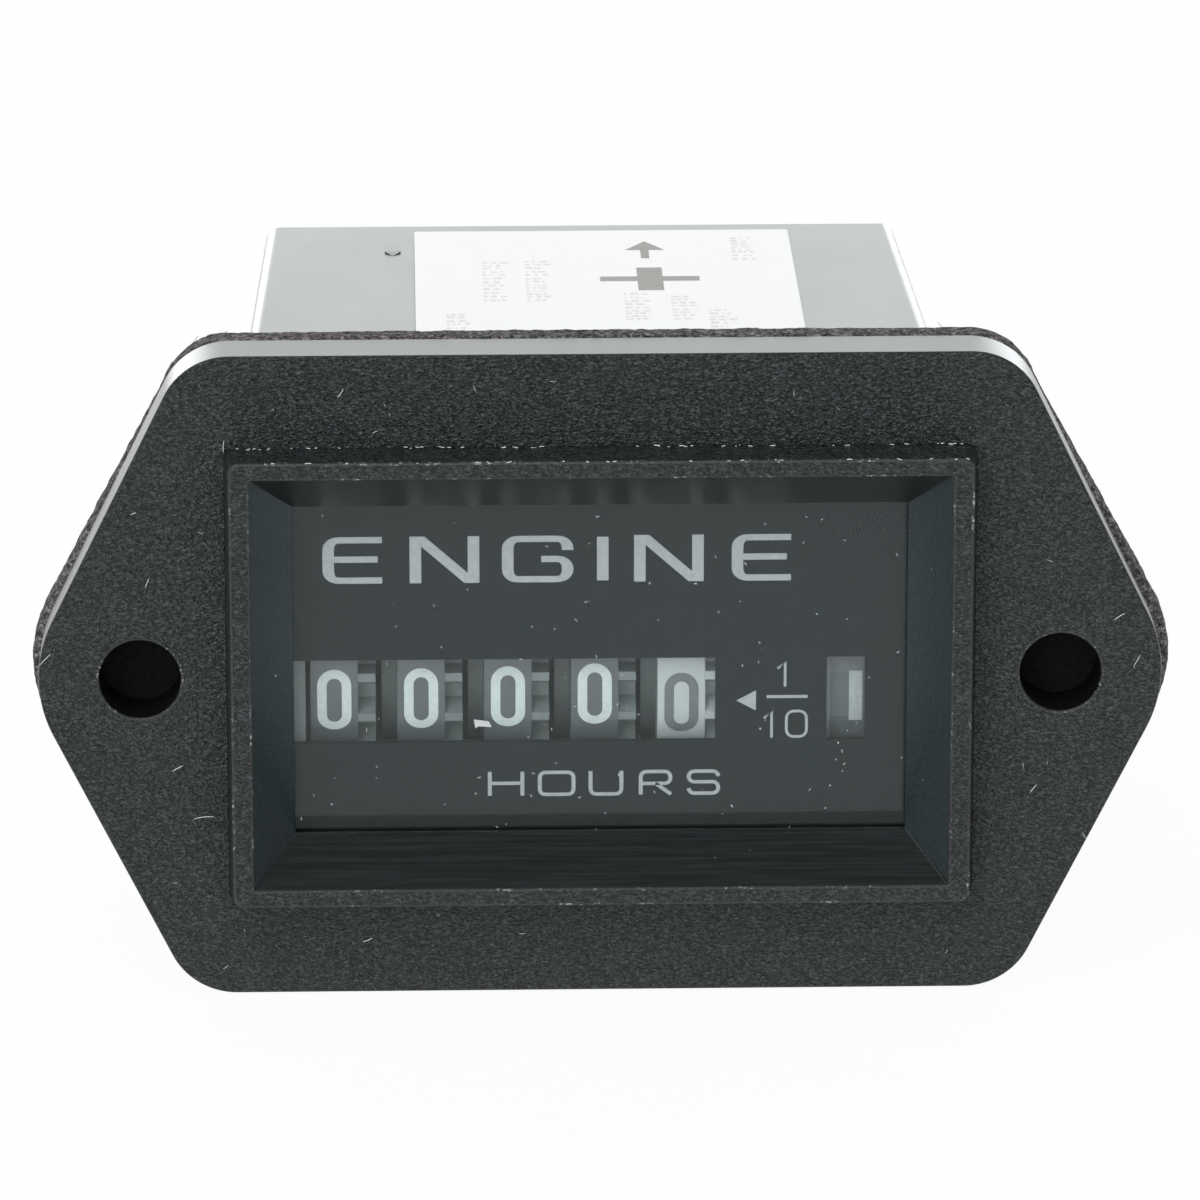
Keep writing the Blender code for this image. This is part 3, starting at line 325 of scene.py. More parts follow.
def grained_black():
    """Moulded charcoal plastic with short level ridges, thin creases between them and a little dust; the
    ridges are painted lighter and the dips and creases darker, as shade on the relief.
    """
    look = material("black_grained", (0.008, 0.011, 0.012), 0.42)
    ridges = cloudy(look, (3700, 6600, 6600), 1.0, 0.5, 0.7)
    fine = cloudy(look, (7000, 9000, 9000), 2.0, 0.6)
    folds = cloudy(look, (2900, 5200, 5200), 1.0, 0.5, 0.9)
    painted_crease_shade = ramp(look, folds, [(0.45, 1.0), (0.5, 0.0), (0.55, 1.0)])
    # Painted light and shade: ridge tops lighter, dips between them darker, over the plastic's own charcoal.
    tone = ramp(look, ridges, [(0.4, (0.004, 0.0065, 0.0072)), (0.6, (0.036, 0.047, 0.0495))])
    # Painted shadow: near-black lines in the creases.
    tone = blend_colour(look, painted_crease_shade, (0.0005, 0.0012, 0.0016), tone)
    specks = combine(look, "MAXIMUM", dust(look, 0.55, 0.05, 0.25), dust(look, 1.3, 0.055, 0.08))
    colour_from(look, blend_colour(look, specks, tone, (0.55, 0.57, 0.57)))
    roughness_from(look, fine, 0.3, 0.5)
    first = relief(look, ridges, 0.22)
    second = relief(look, painted_crease_shade, 0.04, 1.0, first)
    relief(look, fine, 0.008, 0.8, second)
    return look


def worn_black():
    """The same plastic along an edge, where small white nicks gather."""
    base = (0.017, 0.0195, 0.02)
    look = material("black_edge", base, 0.45)
    nicks = cloudy(look, 5200, 4.0, 0.7)
    nicked = ramp(look, nicks, [(0.54, 0.0), (0.62, 1.0)])
    gathered = ramp(look, cloudy(look, 420), [(0.5, 0.06), (0.68, 1.0)])
    white = combine(look, "MULTIPLY", nicked, gathered)
    colour_from(look, blend_colour(look, white, base, (0.55, 0.58, 0.58)))
    roughness_from(look, nicks, 0.4, 0.55)
    relief(look, nicks, 0.012)
    return look


def smooth_black(name, low, high):
    """Satin black plastic, its roughness between two values."""
    look = material(name, (0.014, 0.016, 0.0165), low)
    preset(shader_of(look), {"Specular Tint": COOL_SHEEN, "Coat Weight": 0.8, "Coat Roughness": low})
    haze = cloudy(look, (260, 180, 260), 3.0, 0.55)
    specks = dust(look, 0.45, 0.045, 0.2)
    tone = ramp(look, haze, [(0.3, (0.011, 0.0125, 0.013)), (0.7, (0.018, 0.0205, 0.021))])
    colour_from(look, blend_colour(look, specks, tone, (0.4, 0.42, 0.42)))
    roughness_from(look, haze, low, high)
    relief(look, cloudy(look, 9000), 0.0025)
    return look


def shaded_black(name, colour):
    """Dull black that hardly shines: painted shade on the screw holes' walls and on the gasket's front face
    seen down them.
    """
    look = material(name, colour, 0.9)
    preset(shader_of(look), {"Specular IOR Level": 0.08})
    grain = cloudy(look, 2600, 4.0, 0.65)
    darker = tuple(c * 0.6 for c in colour)
    colour_from(look, ramp(look, grain, [(0.35, darker), (0.65, colour)]))
    relief(look, grain, 0.03)
    return look


def gloss_black(name, dark, pale, line_depth, smooth, coat=0.0, coat_rough=0.0):
    """Polished funnel wall, with faint brushed lines along X and a few fibres of dust."""
    look = material(name, pale, 0.2)
    preset(shader_of(look), {"Coat Weight": coat, "Coat Roughness": coat_rough})
    lines = cloudy(look, (160, 5200, 5200), 2.0, 0.6)
    specks = dust(look, 0.6, 0.05, 0.3)
    streaks = ramp(look, lines, [(0.35, dark), (0.65, pale)])
    colour_from(look, blend_colour(look, specks, streaks, (0.35, 0.37, 0.37)))
    roughness_from(look, cloudy(look, (300, 500, 300), 3.0), smooth, smooth * 1.6)
    relief(look, lines, line_depth)
    return look


def foam_brown():
    """Fibrous gasket sheet, brown-grey with pale and dark flecks."""
    look = material("gasket_fibre", (0.075, 0.066, 0.06), 0.95)
    preset(shader_of(look), {"Specular IOR Level": 0.1})
    strands = cloudy(look, (3000, 4400, 3600), 4.0, 0.75, 0.8)
    flecks = cloudy(look, 6200, 2.0, 0.5)
    tone = ramp(look, strands, [(0.34, (0.012, 0.012, 0.012)), (0.5, (0.1, 0.097, 0.095)),
                                (0.66, (0.38, 0.37, 0.36))])
    pale = ramp(look, flecks, [(0.64, 0.0), (0.72, 1.0)])
    colour_from(look, blend_colour(look, pale, tone, (0.34, 0.31, 0.29)))
    first = relief(look, strands, 0.16)
    relief(look, flecks, 0.05, 0.8, first)
    return look


def label_white():
    """Coated white label film with a trace of mottle."""
    look = material("label_film", (0.86, 0.86, 0.86), 0.5)
    mottle = cloudy(look, 900, 4.0)
    colour_from(look, ramp(look, mottle, [(0.3, (0.94, 0.94, 0.94)), (0.7, (0.96, 0.96, 0.96))]))
    roughness_from(look, mottle, 0.42, 0.58)
    relief(look, mottle, 0.004)
    return look


def ink(name, dark, pale, roughness=0.5):
    """Printed ink: a little uneven, with a faint grain."""
    look = material(name, pale, roughness)
    grain = cloudy(look, 4200, 3.0, 0.6)
    colour_from(look, ramp(look, grain, [(0.35, dark), (0.6, pale)]))
    relief(look, grain, 0.003)
    return look


def dial_print():
    """Matt dark dial with fine speckle."""
    look = material("dial_matt", (0.012, 0.017, 0.017), 0.75)
    preset(shader_of(look), {"Specular IOR Level": 0.15})
    grain = cloudy(look, 3600, 2.0, 0.5)
    specks = dust(look, 0.7, 0.06, 0.2)
    tone = ramp(look, grain, [(0.3, (0.009, 0.0142, 0.0138)), (0.7, (0.0108, 0.0165, 0.016))])
    colour_from(look, blend_colour(look, specks, tone, (0.5, 0.53, 0.53)))
    return look


def moulded(name, colour, roughness, mottle=0.12, size=1200, depth=0.006):
    """Plain moulded or cast surface with a slight mottle and grain."""
    look = material(name, colour, roughness)
    grain = cloudy(look, size, 4.0, 0.6)
    low = tuple(c * (1 - mottle) for c in colour)
    high = tuple(min(1.0, c * (1 + mottle)) for c in colour)
    colour_from(look, ramp(look, grain, [(0.3, low), (0.7, high)]))
    roughness_from(look, grain, roughness * 0.85, min(1.0, roughness * 1.2))
    relief(look, grain, depth)
    return look


def rolled_metal(name, colour, roughness, along=(400, 400, 9000)):
    """Metal with fine drawn lines along one direction and a faint stain."""
    look = material(name, colour, roughness, 1.0)
    lines = cloudy(look, along, 4.0, 0.6)
    stain = cloudy(look, 300, 4.0)
    darker = tuple(c * 0.78 for c in colour)
    colour_from(look, ramp(look, stain, [(0.35, darker), (0.65, colour)]))
    roughness_from(look, lines, roughness * 0.8, roughness * 1.5)
    relief(look, lines, 0.002)
    return look


def board_green():
    """Circuit board with a fine glass weave under its lacquer and faint traces."""
    look = material("board_lacquer", (0.02, 0.12, 0.05), 0.35)
    weave = cloudy(look, 2500, 1.0)
    traces, _ = cells(look, 260, 0.4)
    pattern = ramp(look, traces, [(0.30, (0.016, 0.1, 0.042)), (0.34, (0.035, 0.17, 0.075))])
    colour_from(look, pattern)
    relief(look, weave, 0.006)
    return look


def wound_copper():
    """Enamelled wire wound round the bobbin: level ridges a wire apart, painted darker in the grooves between
    them as shade.
    """
    look = material("copper_winding", (0.55, 0.19, 0.07), 0.32, 1.0)
    bands = add_node(look, "TexWave", wave_type="BANDS", bands_direction="Z")
    preset(bands, {"Scale": 1.0, "Distortion": 0.4})
    join(look, stretched(look, 1400), bands.inputs["Vector"])
    # Painted shade: darker in the grooves between turns.
    colour_from(look, ramp(look, bands.outputs["Fac"], [(0.1, (0.22, 0.07, 0.03)), (0.6, (0.6, 0.22, 0.09))]))
    relief(look, bands.outputs["Fac"], 0.05)
    return look


def clear_lens():
    """Clear moulded window: see-through, with the gloss of its two faces, most of it at a slant."""
    look = bpy.data.materials.new("lens_clear")
    look.use_nodes = True
    look.node_tree.nodes.remove(shader_of(look))
    gloss = add_node(look, "BsdfGlossy")
    preset(gloss, {"Roughness": 0.09, "Color": (0.88, 0.98, 1.0, 1.0)})
    join(look, bump(look, cloudy(look, 220), 0.002), gloss.inputs["Normal"])
    through = add_node(look, "BsdfTransparent")
    preset(through, {"Color": (0.97, 0.98, 0.98, 1.0)})
    facing = add_node(look, "LayerWeight")
    grazing = combine(look, "POWER", facing.outputs["Facing"], LENS_SLANT_POWER)
    share = combine(look, "ADD", combine(look, "MULTIPLY", grazing, LENS_SLANT_GLOSS), LENS_GLOSS)
    mix_shaders(look, share, through.outputs["BSDF"], gloss.outputs["BSDF"])
    return look


# The lens's share of gloss seen straight on, what a slant adds, and how late it sets in
LENS_GLOSS = 0.025
LENS_SLANT_GLOSS = 0.97
LENS_SLANT_POWER = 5.0


BLACK_GRAIN = grained_black()
BLACK_EDGE = worn_black()
BLACK_SATIN = smooth_black("black_satin", 0.32, 0.42)
BLACK_WALL = smooth_black("black_wall", 0.38, 0.44)
# Painted shade on the screw holes' walls.
HOLE_PAINTED_SHADE = shaded_black("hole_painted_shade", (0.005, 0.0055, 0.006))
# Painted shade on the gasket's front face, seen down the screw holes.
GASKET_PAINTED_SHADE = shaded_black("gasket_painted_shade", (0.011, 0.012, 0.0125))
# One polished black in three copies for the funnel's walls: painted lighter on the side walls and darker on
# the top and low walls, as light and shade.
BLACK_GLOSS_LIT = gloss_black("black_gloss_lit", (0.02, 0.03, 0.031), (0.03, 0.041, 0.042), 0.0006, 0.13)
BLACK_TOP_WALL_SHADED = gloss_black("black_top_wall_shaded", (0.008, 0.011, 0.0115), (0.011, 0.015, 0.0155), 0.0002, 0.24,
                             0.3, 0.22)
BLACK_LOW_WALL_SHADED = gloss_black("black_low_wall_shaded", (0.004, 0.006, 0.0065), (0.013, 0.018, 0.019), 0.002, 0.13)
FOAM = foam_brown()
FIBRE_PALE = moulded("fibre_pale", (0.4, 0.37, 0.34), 0.9)
FIBRE_WHITE = moulded("fibre_white", (0.75, 0.76, 0.76), 0.8)
LABEL = label_white()
LABEL_INK = ink("label_ink", (0.37, 0.355, 0.34), (0.44, 0.425, 0.41), 0.8)
FAINT_INK = ink("label_faint_ink", (0.76, 0.75, 0.745), (0.82, 0.815, 0.81), 0.8)
DIAL = dial_print()
DIAL_INK = ink("dial_ink", (0.425, 0.452, 0.46), (0.5, 0.527, 0.535))
PLATE_GREY = moulded("plate_grey", (0.25, 0.285, 0.28), 0.6, 0.12, 3000)
# A painted strip of light on the run indicator's rim, drawn with the ink material.
RUN_PAINTED_LIGHT = ink("run_painted_light", (0.24, 0.27, 0.27), (0.32, 0.35, 0.35))
RUN_PALE = ink("run_pale", (0.415, 0.47, 0.47), (0.49, 0.545, 0.545))
WHEEL_BLACK = moulded("wheel_black", (0.115, 0.135, 0.135), 0.34, 0.1, 2600, 0.003)
# Painted light: the gear and carry discs are lighter than the wheels' black, to lift the shade between the
# wheels.
WHEEL_GEARS_PAINTED_LIGHT = moulded("wheel_gears", (0.21, 0.245, 0.24), 0.5, 0.08, 2600, 0.003)
WHEEL_WHITE = moulded("wheel_white", (0.56, 0.62, 0.62), 0.35, 0.04, 1600, 0.003)
DIGIT_PALE = ink("digit_pale", (0.66, 0.74, 0.75), (0.74, 0.82, 0.83))
DIGIT_DARK = ink("digit_dark", (0.15, 0.17, 0.17), (0.19, 0.21, 0.21))
NATURAL = moulded("natural_plastic", (0.66, 0.65, 0.58), 0.4, 0.06)
STEEL = rolled_metal("steel_ground", (0.6, 0.6, 0.6), 0.3, (9000, 500, 500))
TINNED = rolled_metal("can_tinned", (0.7, 0.7, 0.67), 0.3, (600, 600, 600))
BRASS = rolled_metal("brass_rolled", (0.74, 0.54, 0.24), 0.26, (6000, 260, 6000))
COPPER = wound_copper()
BOARD = board_green()
CHIP = moulded("chip_black", (0.02, 0.02, 0.021), 0.5, 0.2, 5000, 0.01)
BOBBIN = moulded("bobbin_dark", (0.04, 0.042, 0.045), 0.5)
SLEEVE = moulded("capacitor_sleeve", (0.02, 0.025, 0.05), 0.4)
RESISTOR = moulded("resistor_body", (0.5, 0.42, 0.28), 0.5)
LENS = clear_lens()

# The looks of the CAD nodes that are carried over
NODES_BY_LOOK = (
    (BLACK_SATIN, "rear_cover"), (DIAL, "dial_plate"), (LENS, "lens"), (WHEEL_BLACK, "run_indicator"),
    (PLATE_GREY, "left_plate middle_plate right_plate"), (NATURAL, "intermediate_gear"),
    (BRASS, "drive_gear terminal_positive terminal_negative"),
    (STEEL, "rotor number_wheel_shaft pinion_shaft stator_plate coil_core"),
    (BOBBIN, "coil_bobbin"), (COPPER, "coil_winding"), (BOARD, "circuit_board"),
    (CHIP, "control_chip protection_diode"), (TINNED, "quartz_crystal"), (SLEEVE, "filter_capacitor"),
    (RESISTOR, "dropping_resistor"),
)
NODE_LOOKS = {name: look for look, names in NODES_BY_LOOK for name in names.split()}
for number in range(1, 5):
    NODE_LOOKS["tie_rod_%d" % number] = STEEL
    NODE_LOOKS["transfer_pinion_%d" % number] = NATURAL


# Outlines, as (x, z) points in millimetres

def rounded(corners, radii, steps):
    """A closed outline with an arc at each corner; a radius of zero keeps the corner sharp."""
    outline = []
    count = len(corners)
    for index, (x, z) in enumerate(corners):
        radius = radii[index]
        if radius <= 0:
            outline.append((x, z))
            continue
        before = corners[index - 1]
        after = corners[(index + 1) % count]
        back = atan2(before[1] - z, before[0] - x)
        on = atan2(after[1] - z, after[0] - x)
        turn = (on - back) % TURN
        if turn > pi:
            turn -= TURN
        half = abs(turn) / 2
        middle = back + turn / 2
        reach = radius / sin(half)
        centre = (x + reach * cos(middle), z + reach * sin(middle))
        sweep = copysign(pi - 2 * half, turn)
        first = middle + pi + sweep / 2
        for step in range(steps + 1):
            angle = first - sweep * step / steps
            outline.append((centre[0] + radius * cos(angle), centre[1] + radius * sin(angle)))
    return outline


def flange_outline(extra=0.0):
    """The six-sided outline, grown by extra."""
    lean = atan2(TIP_X - CORNER_X, FLANGE_HALF_H)
    tip = TIP_X + extra / cos(lean)
    corner = CORNER_X + extra * (1 - sin(lean)) / cos(lean)
    high = FLANGE_HALF_H + extra
    corners = [(-tip, 0.0), (-corner, -high), (corner, -high), (tip, 0.0), (corner, high), (-corner, high)]
    return rounded(corners, [TIP_R + extra, CORNER_R + extra, CORNER_R + extra] * 2, 20)


def box_points(x0, x1, z0, z1):
    """A rectangle's corners."""
    return [(x0, z0), (x1, z0), (x1, z1), (x0, z1)]


def frame_outline(half, grow=0.0, radius=0.0):
    """A rectangle about the dial's middle, grown by some amount, with rounded corners."""
    half_w = half[0] + grow
    half_h = half[1] + grow
    corners = box_points(-half_w, half_w, MIDDLE_Z - half_h, MIDDLE_Z + half_h)
    return rounded(corners, [max(radius, 0.03)] * 4, 6)


def body_half(y):
    """The tub's outer half width and half height at a depth."""
    return [half + (BODY_REAR - y) * draft for half, draft in zip(BODY_REAR_HALF, BODY_DRAFT)]


def tub_outline(y, pad, shrink=0.0):
    """The tub's section with its side pads standing proud by pad."""
    half_w, half_h = body_half(y)
    half_w -= shrink
    half_h -= shrink
    pad_h = half_h - PAD_SHORT - BODY_EDGE_R
    corners = []
    radii = []
    for side, first in ((1, -1), (-1, 1)):
        proud = side * (half_w + pad)
        near = side * half_w
        corners += [(near, MIDDLE_Z + first * half_h), (near, MIDDLE_Z + first * pad_h),
                    (proud, MIDDLE_Z + first * pad_h), (proud, MIDDLE_Z - first * pad_h),
                    (near, MIDDLE_Z - first * pad_h), (near, MIDDLE_Z - first * half_h)]
        radii += [BODY_EDGE_R, 0, 0, 0, 0, BODY_EDGE_R]
    return rounded(corners, radii, 8)


def polar(radius, angle):
    """A point at a distance and an angle."""
    return radius * cos(angle), radius * sin(angle)


def circle(x, z, radius, steps):
    """A round outline."""
    points = [polar(radius, TURN * k / steps) for k in range(steps)]
    return [(x + across, z + up) for across, up in points]


# Surfaces made from outlines

def ring(shape, outline, y):
    """A closed ring of points at a depth."""
    return [shape.verts.new((x, y, z)) for x, z in outline]


def skin(shape, rings, slot):
    """Faces between neighbouring rings that have as many points."""
    for low, high in zip(rings, rings[1:]):
        for k in range(len(low)):
            n = (k + 1) % len(low)
            face = shape.faces.new((low[k], low[n], high[n], high[k]))
            face.material_index = slot


def fill(shape, rings, slot):
    """A flat face between an outer ring and the holes in it."""
    edges = []
    for points in rings:
        for k, point in enumerate(points):
            after = points[(k + 1) % len(points)]
            edges.append(shape.edges.get((point, after)) or shape.edges.new((point, after)))
    made = bmesh.ops.triangle_fill(shape, use_beauty=True, use_dissolve=False, edges=edges)
    for item in made["geom"]:
        if isinstance(item, bmesh.types.BMFace):
            item.material_index = slot


def quarter(radius, steps):
    """(inward, along) offsets round a rounded edge, from one face to the other."""
    turns = [pi / 2 * k / steps for k in range(steps + 1)]
    return [(radius * (1 - sin(a)), radius * (1 - cos(a))) for a in turns]


GRAIN, EDGE, SATIN, GLOSS, SIDE, SHADE, LOW_WALL, TOP_WALL = range(8)


def build_housing():
    """Flange, raised frame, funnel and tub: one moulding with rounded edges."""
    shape = bmesh.new()
    front_edge = [ring(shape, flange_outline(-inward), FLANGE_FRONT + along)
                  for inward, along in quarter(FLANGE_EDGE_R, 6)]
    rear_edge = [ring(shape, flange_outline(-inward), FLANGE_REAR - along)
                 for inward, along in reversed(quarter(FLANGE_REAR_R, 4))]
    skin(shape, front_edge[:4], GRAIN)
    skin(shape, front_edge[3:] + rear_edge, SIDE)

    groove = ((GROOVE_W, 0.0), (GROOVE_W * 0.7, GROOVE_DEPTH), (GROOVE_W * 0.2, GROOVE_DEPTH))
    foot = [ring(shape, frame_outline(FRAME_HALF, FRAME_DRAFT + grow, FRAME_CORNER_R + grow),
                 FLANGE_FRONT + down) for grow, down in groove]
    outer = [ring(shape, frame_outline(FRAME_HALF, FRAME_DRAFT, FRAME_CORNER_R), FLANGE_FRONT - GROOVE_DEPTH)]
    outer += [ring(shape, frame_outline(FRAME_HALF, -inward, FRAME_CORNER_R), FRAME_FRONT + along)
              for inward, along in reversed(quarter(FRAME_EDGE_R, 4))]
    mouth = [ring(shape, frame_outline(MOUTH_HALF, inward, MOUTH_EDGE_R), FRAME_FRONT + along)
             for inward, along in quarter(MOUTH_EDGE_R, 3)]
    skin(shape, foot + outer[:2], GRAIN)
    skin(shape, outer[1:], EDGE)
    skin(shape, [outer[-1], mouth[0]], GRAIN)
    skin(shape, mouth, EDGE)
    slope_end = ring(shape, frame_outline(DIAL_HALF), FUNNEL_END)
    land_end = ring(shape, frame_outline(DIAL_HALF), POCKET_FRONT)
    skin(shape, [mouth[-1], slope_end, land_end], GLOSS)
    # The top and low walls take the darker copies, as painted shade.
    for face in shape.faces:
        if face.material_index == GLOSS:
            height = face.calc_center_median().z - MIDDLE_Z
            if abs(height) > DIAL_HALF[1]:
                face.material_index = TOP_WALL if height > 0 else LOW_WALL
    pocket = [ring(shape, frame_outline(POCKET_HALF), y) for y in (POCKET_FRONT, CAVITY_FRONT)]
    skin(shape, [land_end] + pocket, SATIN)
    half = [side - WALL for side in body_half(CAVITY_FRONT)]
    room = [ring(shape, frame_outline(half), CAVITY_FRONT)]
    half = [side - WALL for side in body_half(BODY_REAR)]
    room.append(ring(shape, frame_outline(half), BODY_REAR))
    skin(shape, [pocket[-1]] + room, SATIN)

    tub = [ring(shape, tub_outline(FLANGE_REAR, PAD_PROUD), FLANGE_REAR),
           ring(shape, tub_outline(PAD_END - PAD_RAMP, PAD_PROUD), PAD_END - PAD_RAMP),
           ring(shape, tub_outline(PAD_END, 0.0), PAD_END)]
    tub += [ring(shape, tub_outline(BODY_REAR - along, 0.0, inward), BODY_REAR - along)
            for inward, along in reversed(quarter(BODY_END_R, 4))]
    skin(shape, tub, SATIN)
    fill(shape, [tub[-1], room[-1]], SATIN)

    lips = []
    backs = []
    for side in (-1, 1):
        hole = [ring(shape, circle(side * HOLE_X, 0.0, HOLE_R + inward, 64), FLANGE_FRONT + along)
                for inward, along in quarter(LIP_R, 3)]
        hole.append(ring(shape, circle(side * HOLE_X, 0.0, HOLE_R, 64), FLANGE_REAR))
        skin(shape, hole[:-1], EDGE)
        # The hole's wall, in painted shade.
        skin(shape, hole[-2:], SHADE)
        lips.append(hole[0])
        backs.append(hole[-1])
    fill(shape, [front_edge[0], foot[0]] + lips, GRAIN)
    fill(shape, [rear_edge[-1], tub[0]] + backs, SATIN)
    add_nub(shape)
    looks = [BLACK_GRAIN, BLACK_EDGE, BLACK_SATIN, BLACK_GLOSS_LIT, BLACK_WALL, HOLE_PAINTED_SHADE, BLACK_LOW_WALL_SHADED,
             BLACK_TOP_WALL_SHADED]
    housing = new_piece("housing", shape, looks, "case")
    weigh_normals(housing)
    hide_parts("front_housing")


def add_nub(shape):
    """The small moulded arrow on the tub's top: level at its rear, falling to a point in front."""
    rings = []
    for sunk, rise in ((0.1, 0.0), (0.0, NUB_H)):
        points = []
        for side, y in ((0, NUB_Y[0]), (1, NUB_Y[1]), (1, NUB_Y[2]), (-1, NUB_Y[2]), (-1, NUB_Y[1])):
            high = MIDDLE_Z + body_half(y)[1] - sunk + (rise if side else 0.0)
            points.append(shape.verts.new((NUB_X + side * NUB_W / 2, y, high)))
        rings.append(points)
    skin(shape, rings, SATIN)
    top = rings[1]
    for corners in (rings[0], (top[0], top[1], top[4]), top[1:]):
        shape.faces.new(corners).material_index = SATIN


def fine_path(path, closed, step, whole=ceil):
    """The same path with points about a step apart, counted with whole."""
    after = path[1:] + path[:1]
    pairs = list(zip(path, after if closed else path[1:]))
    made = []
    for (x, z), (x1, z1) in pairs:
        count = max(1, whole(hypot(x1 - x, z1 - z) / step))
        made += [(x + (x1 - x) * j / count, z + (z1 - z) * j / count) for j in range(count)]
    return made if closed else made + [path[-1]]


def proud_at(x):
    """How far the gasket stands out beyond the flange at a place across it."""
    for (x0, low), (x1, high) in zip(GASKET_PROUD, GASKET_PROUD[1:]):
        if x <= x1:
            return low + (high - low) * (x - x0) / (x1 - x0)
    return GASKET_PROUD[-1][1]


def grown_ring(shape, base, extra, y):
    """The gasket's outline at a depth, grown by extra, with a wandering cut edge."""
    points = []
    for x, z in base:
        reach = hypot(x, z)
        scale = 1 + (extra + proud_at(x)) / reach
        if extra > -GASKET_EDGE_R * 1.5:
            wander = noise.noise(Vector((x * 0.9, y * 2.2, z * 0.9))) * 0.06
            wander += noise.noise(Vector((x * 3.1, y * 4.3, z * 3.1))) * 0.05
            scale *= 1 + wander / reach
        lift = noise.noise(Vector((x * 2.1, 7.0, z * 2.1))) * 0.04
        points.append(shape.verts.new((x * scale, y + lift, z * scale)))
    return points


def build_gasket():
    """Fibrous seal with an uneven cut edge, and the stray fibres along it."""
    shape = bmesh.new()
    base = fine_path(flange_outline(), True, GASKET_STEP, round)
    round_edge = [(inward * 0.6, GASKET_EDGE_R * k / 4)
                  for k, (inward, _) in enumerate(quarter(GASKET_EDGE_R, 4))]
    front = GASKET_FRONT + GASKET_SUNK
    section = [(GASKET_FACE_INSET, front)]
    section += [(inward, front + along) for inward, along in round_edge]
    section += [(0.0, y) for y in GASKET_EDGE_DEPTHS]
    section += [(inward, -along - GASKET_SUNK) for inward, along in reversed(round_edge)]
    section.append((GASKET_FACE_INSET, -GASKET_SUNK))
    rings = [grown_ring(shape, base, -inward, y) for inward, y in section]
    skin(shape, rings, 0)
    half_w, half_h = body_half(FLANGE_REAR)
    opening = (half_w + GASKET_GAP + PAD_PROUD, half_h + GASKET_GAP)
    inner = [ring(shape, frame_outline(opening, 0.0, BODY_EDGE_R), y) for y in (front, -GASKET_SUNK)]
    skin(shape, inner, 0)
    # The gasket's front face, seen only down the screw holes, in painted shade.
    fill(shape, [rings[0], inner[0]], 1)
    fill(shape, [rings[-1], inner[1]], 0)
    gasket = new_piece("gasket_seal", shape, [FOAM, GASKET_PAINTED_SHADE], "case", 60)
    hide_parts("gasket")
    build_fibres(base)


def hair(shape, points, width, slot=0):
    """A thin three-sided strand through points."""
    rings = []
    for index, point in enumerate(points):
        before = points[max(0, index - 1)]
        after = points[min(len(points) - 1, index + 1)]
        along = (after - before).normalized()
        side = along.cross(Vector((0.3, 0.9, 0.2))).normalized()
        up = along.cross(side)
        slim = width * (0.45 if index in (0, len(points) - 1) else 1.0)
        around = circle(0.0, 0.0, slim, 3)
        rings.append([shape.verts.new(point + side * across + up * high) for across, high in around])
    skin(shape, rings, slot)
    for end in (rings[0], rings[-1]):
        shape.faces.new(end).material_index = slot


def build_fibres(base):
    """Stray fibres that stand off the gasket's cut edge."""
    draw = random.Random(11)
    shape = bmesh.new()
    for _ in range(FIBRES):
        x, z = base[draw.randrange(len(base))]
        out = Vector((x, 0.0, z)).normalized()
        tangent = Vector((-out.z, 0.0, out.x))
        start = Vector((x, draw.uniform(-1.5, -0.2), z)) + out * (proud_at(x) - 0.02)
        heading = tangent * draw.uniform(-1, 1)
        heading += Vector((0, draw.uniform(-0.5, 0.5), 0))
        heading += out * draw.uniform(-0.1, 0.05)
        bend = out * draw.uniform(-0.1, 0.05) + tangent * draw.uniform(-0.2, 0.2)
        length = draw.uniform(0.25, 0.9)
        points = [start + heading * length * t + bend * length * t * t for t in (0, 0.25, 0.5, 0.75, 1.0)]
        hair(shape, points, draw.uniform(0.01, 0.022), draw.choice((0, 0, 1)))
    new_piece("gasket_fibres", shape, [FOAM, FIBRE_PALE], "case", 80)


# Flat print: closed strokes with an upright width and a level width

def prism(shape, outline, place):
    """A thin closed plate from an outline; place gives each point's front and rear."""
    sides = zip(*(place(x, z) for x, z in outline))
    front, rear = [[shape.verts.new(point) for point in side] for side in sides]
    skin(shape, [front, rear], 0)
    fill(shape, [front], 0)
    fill(shape, [rear], 0)


def band(shape, path, closed, pen, place):
    """A stroke of an elliptical pen along a path of points, as a closed thin plate."""
    count = len(path)
    sides = ([], [])
    for k, (x, z) in enumerate(path):
        before = path[k - 1] if closed or k > 0 else path[k]
        after = path[(k + 1) % count] if closed or k < count - 1 else path[k]
        dx, dz = after[0] - before[0], after[1] - before[1]
        length = hypot(dx, dz)
        offset = (-dz / length * pen[0] / 2, dx / length * pen[1] / 2)
        for sign, side in zip((1, -1), sides):
            side.append((x + sign * offset[0], z + sign * offset[1]))
    rows = []
    for left, right in zip(*sides):
        left_low, left_high = place(*left)
        right_low, right_high = place(*right)
        rows.append([shape.verts.new(point) for point in (left_low, right_low, right_high, left_high)])
    if closed:
        rows.append(rows[0])
    skin(shape, rows, 0)
    if not closed:
        shape.faces.new(rows[0])
        shape.faces.new(rows[-1])


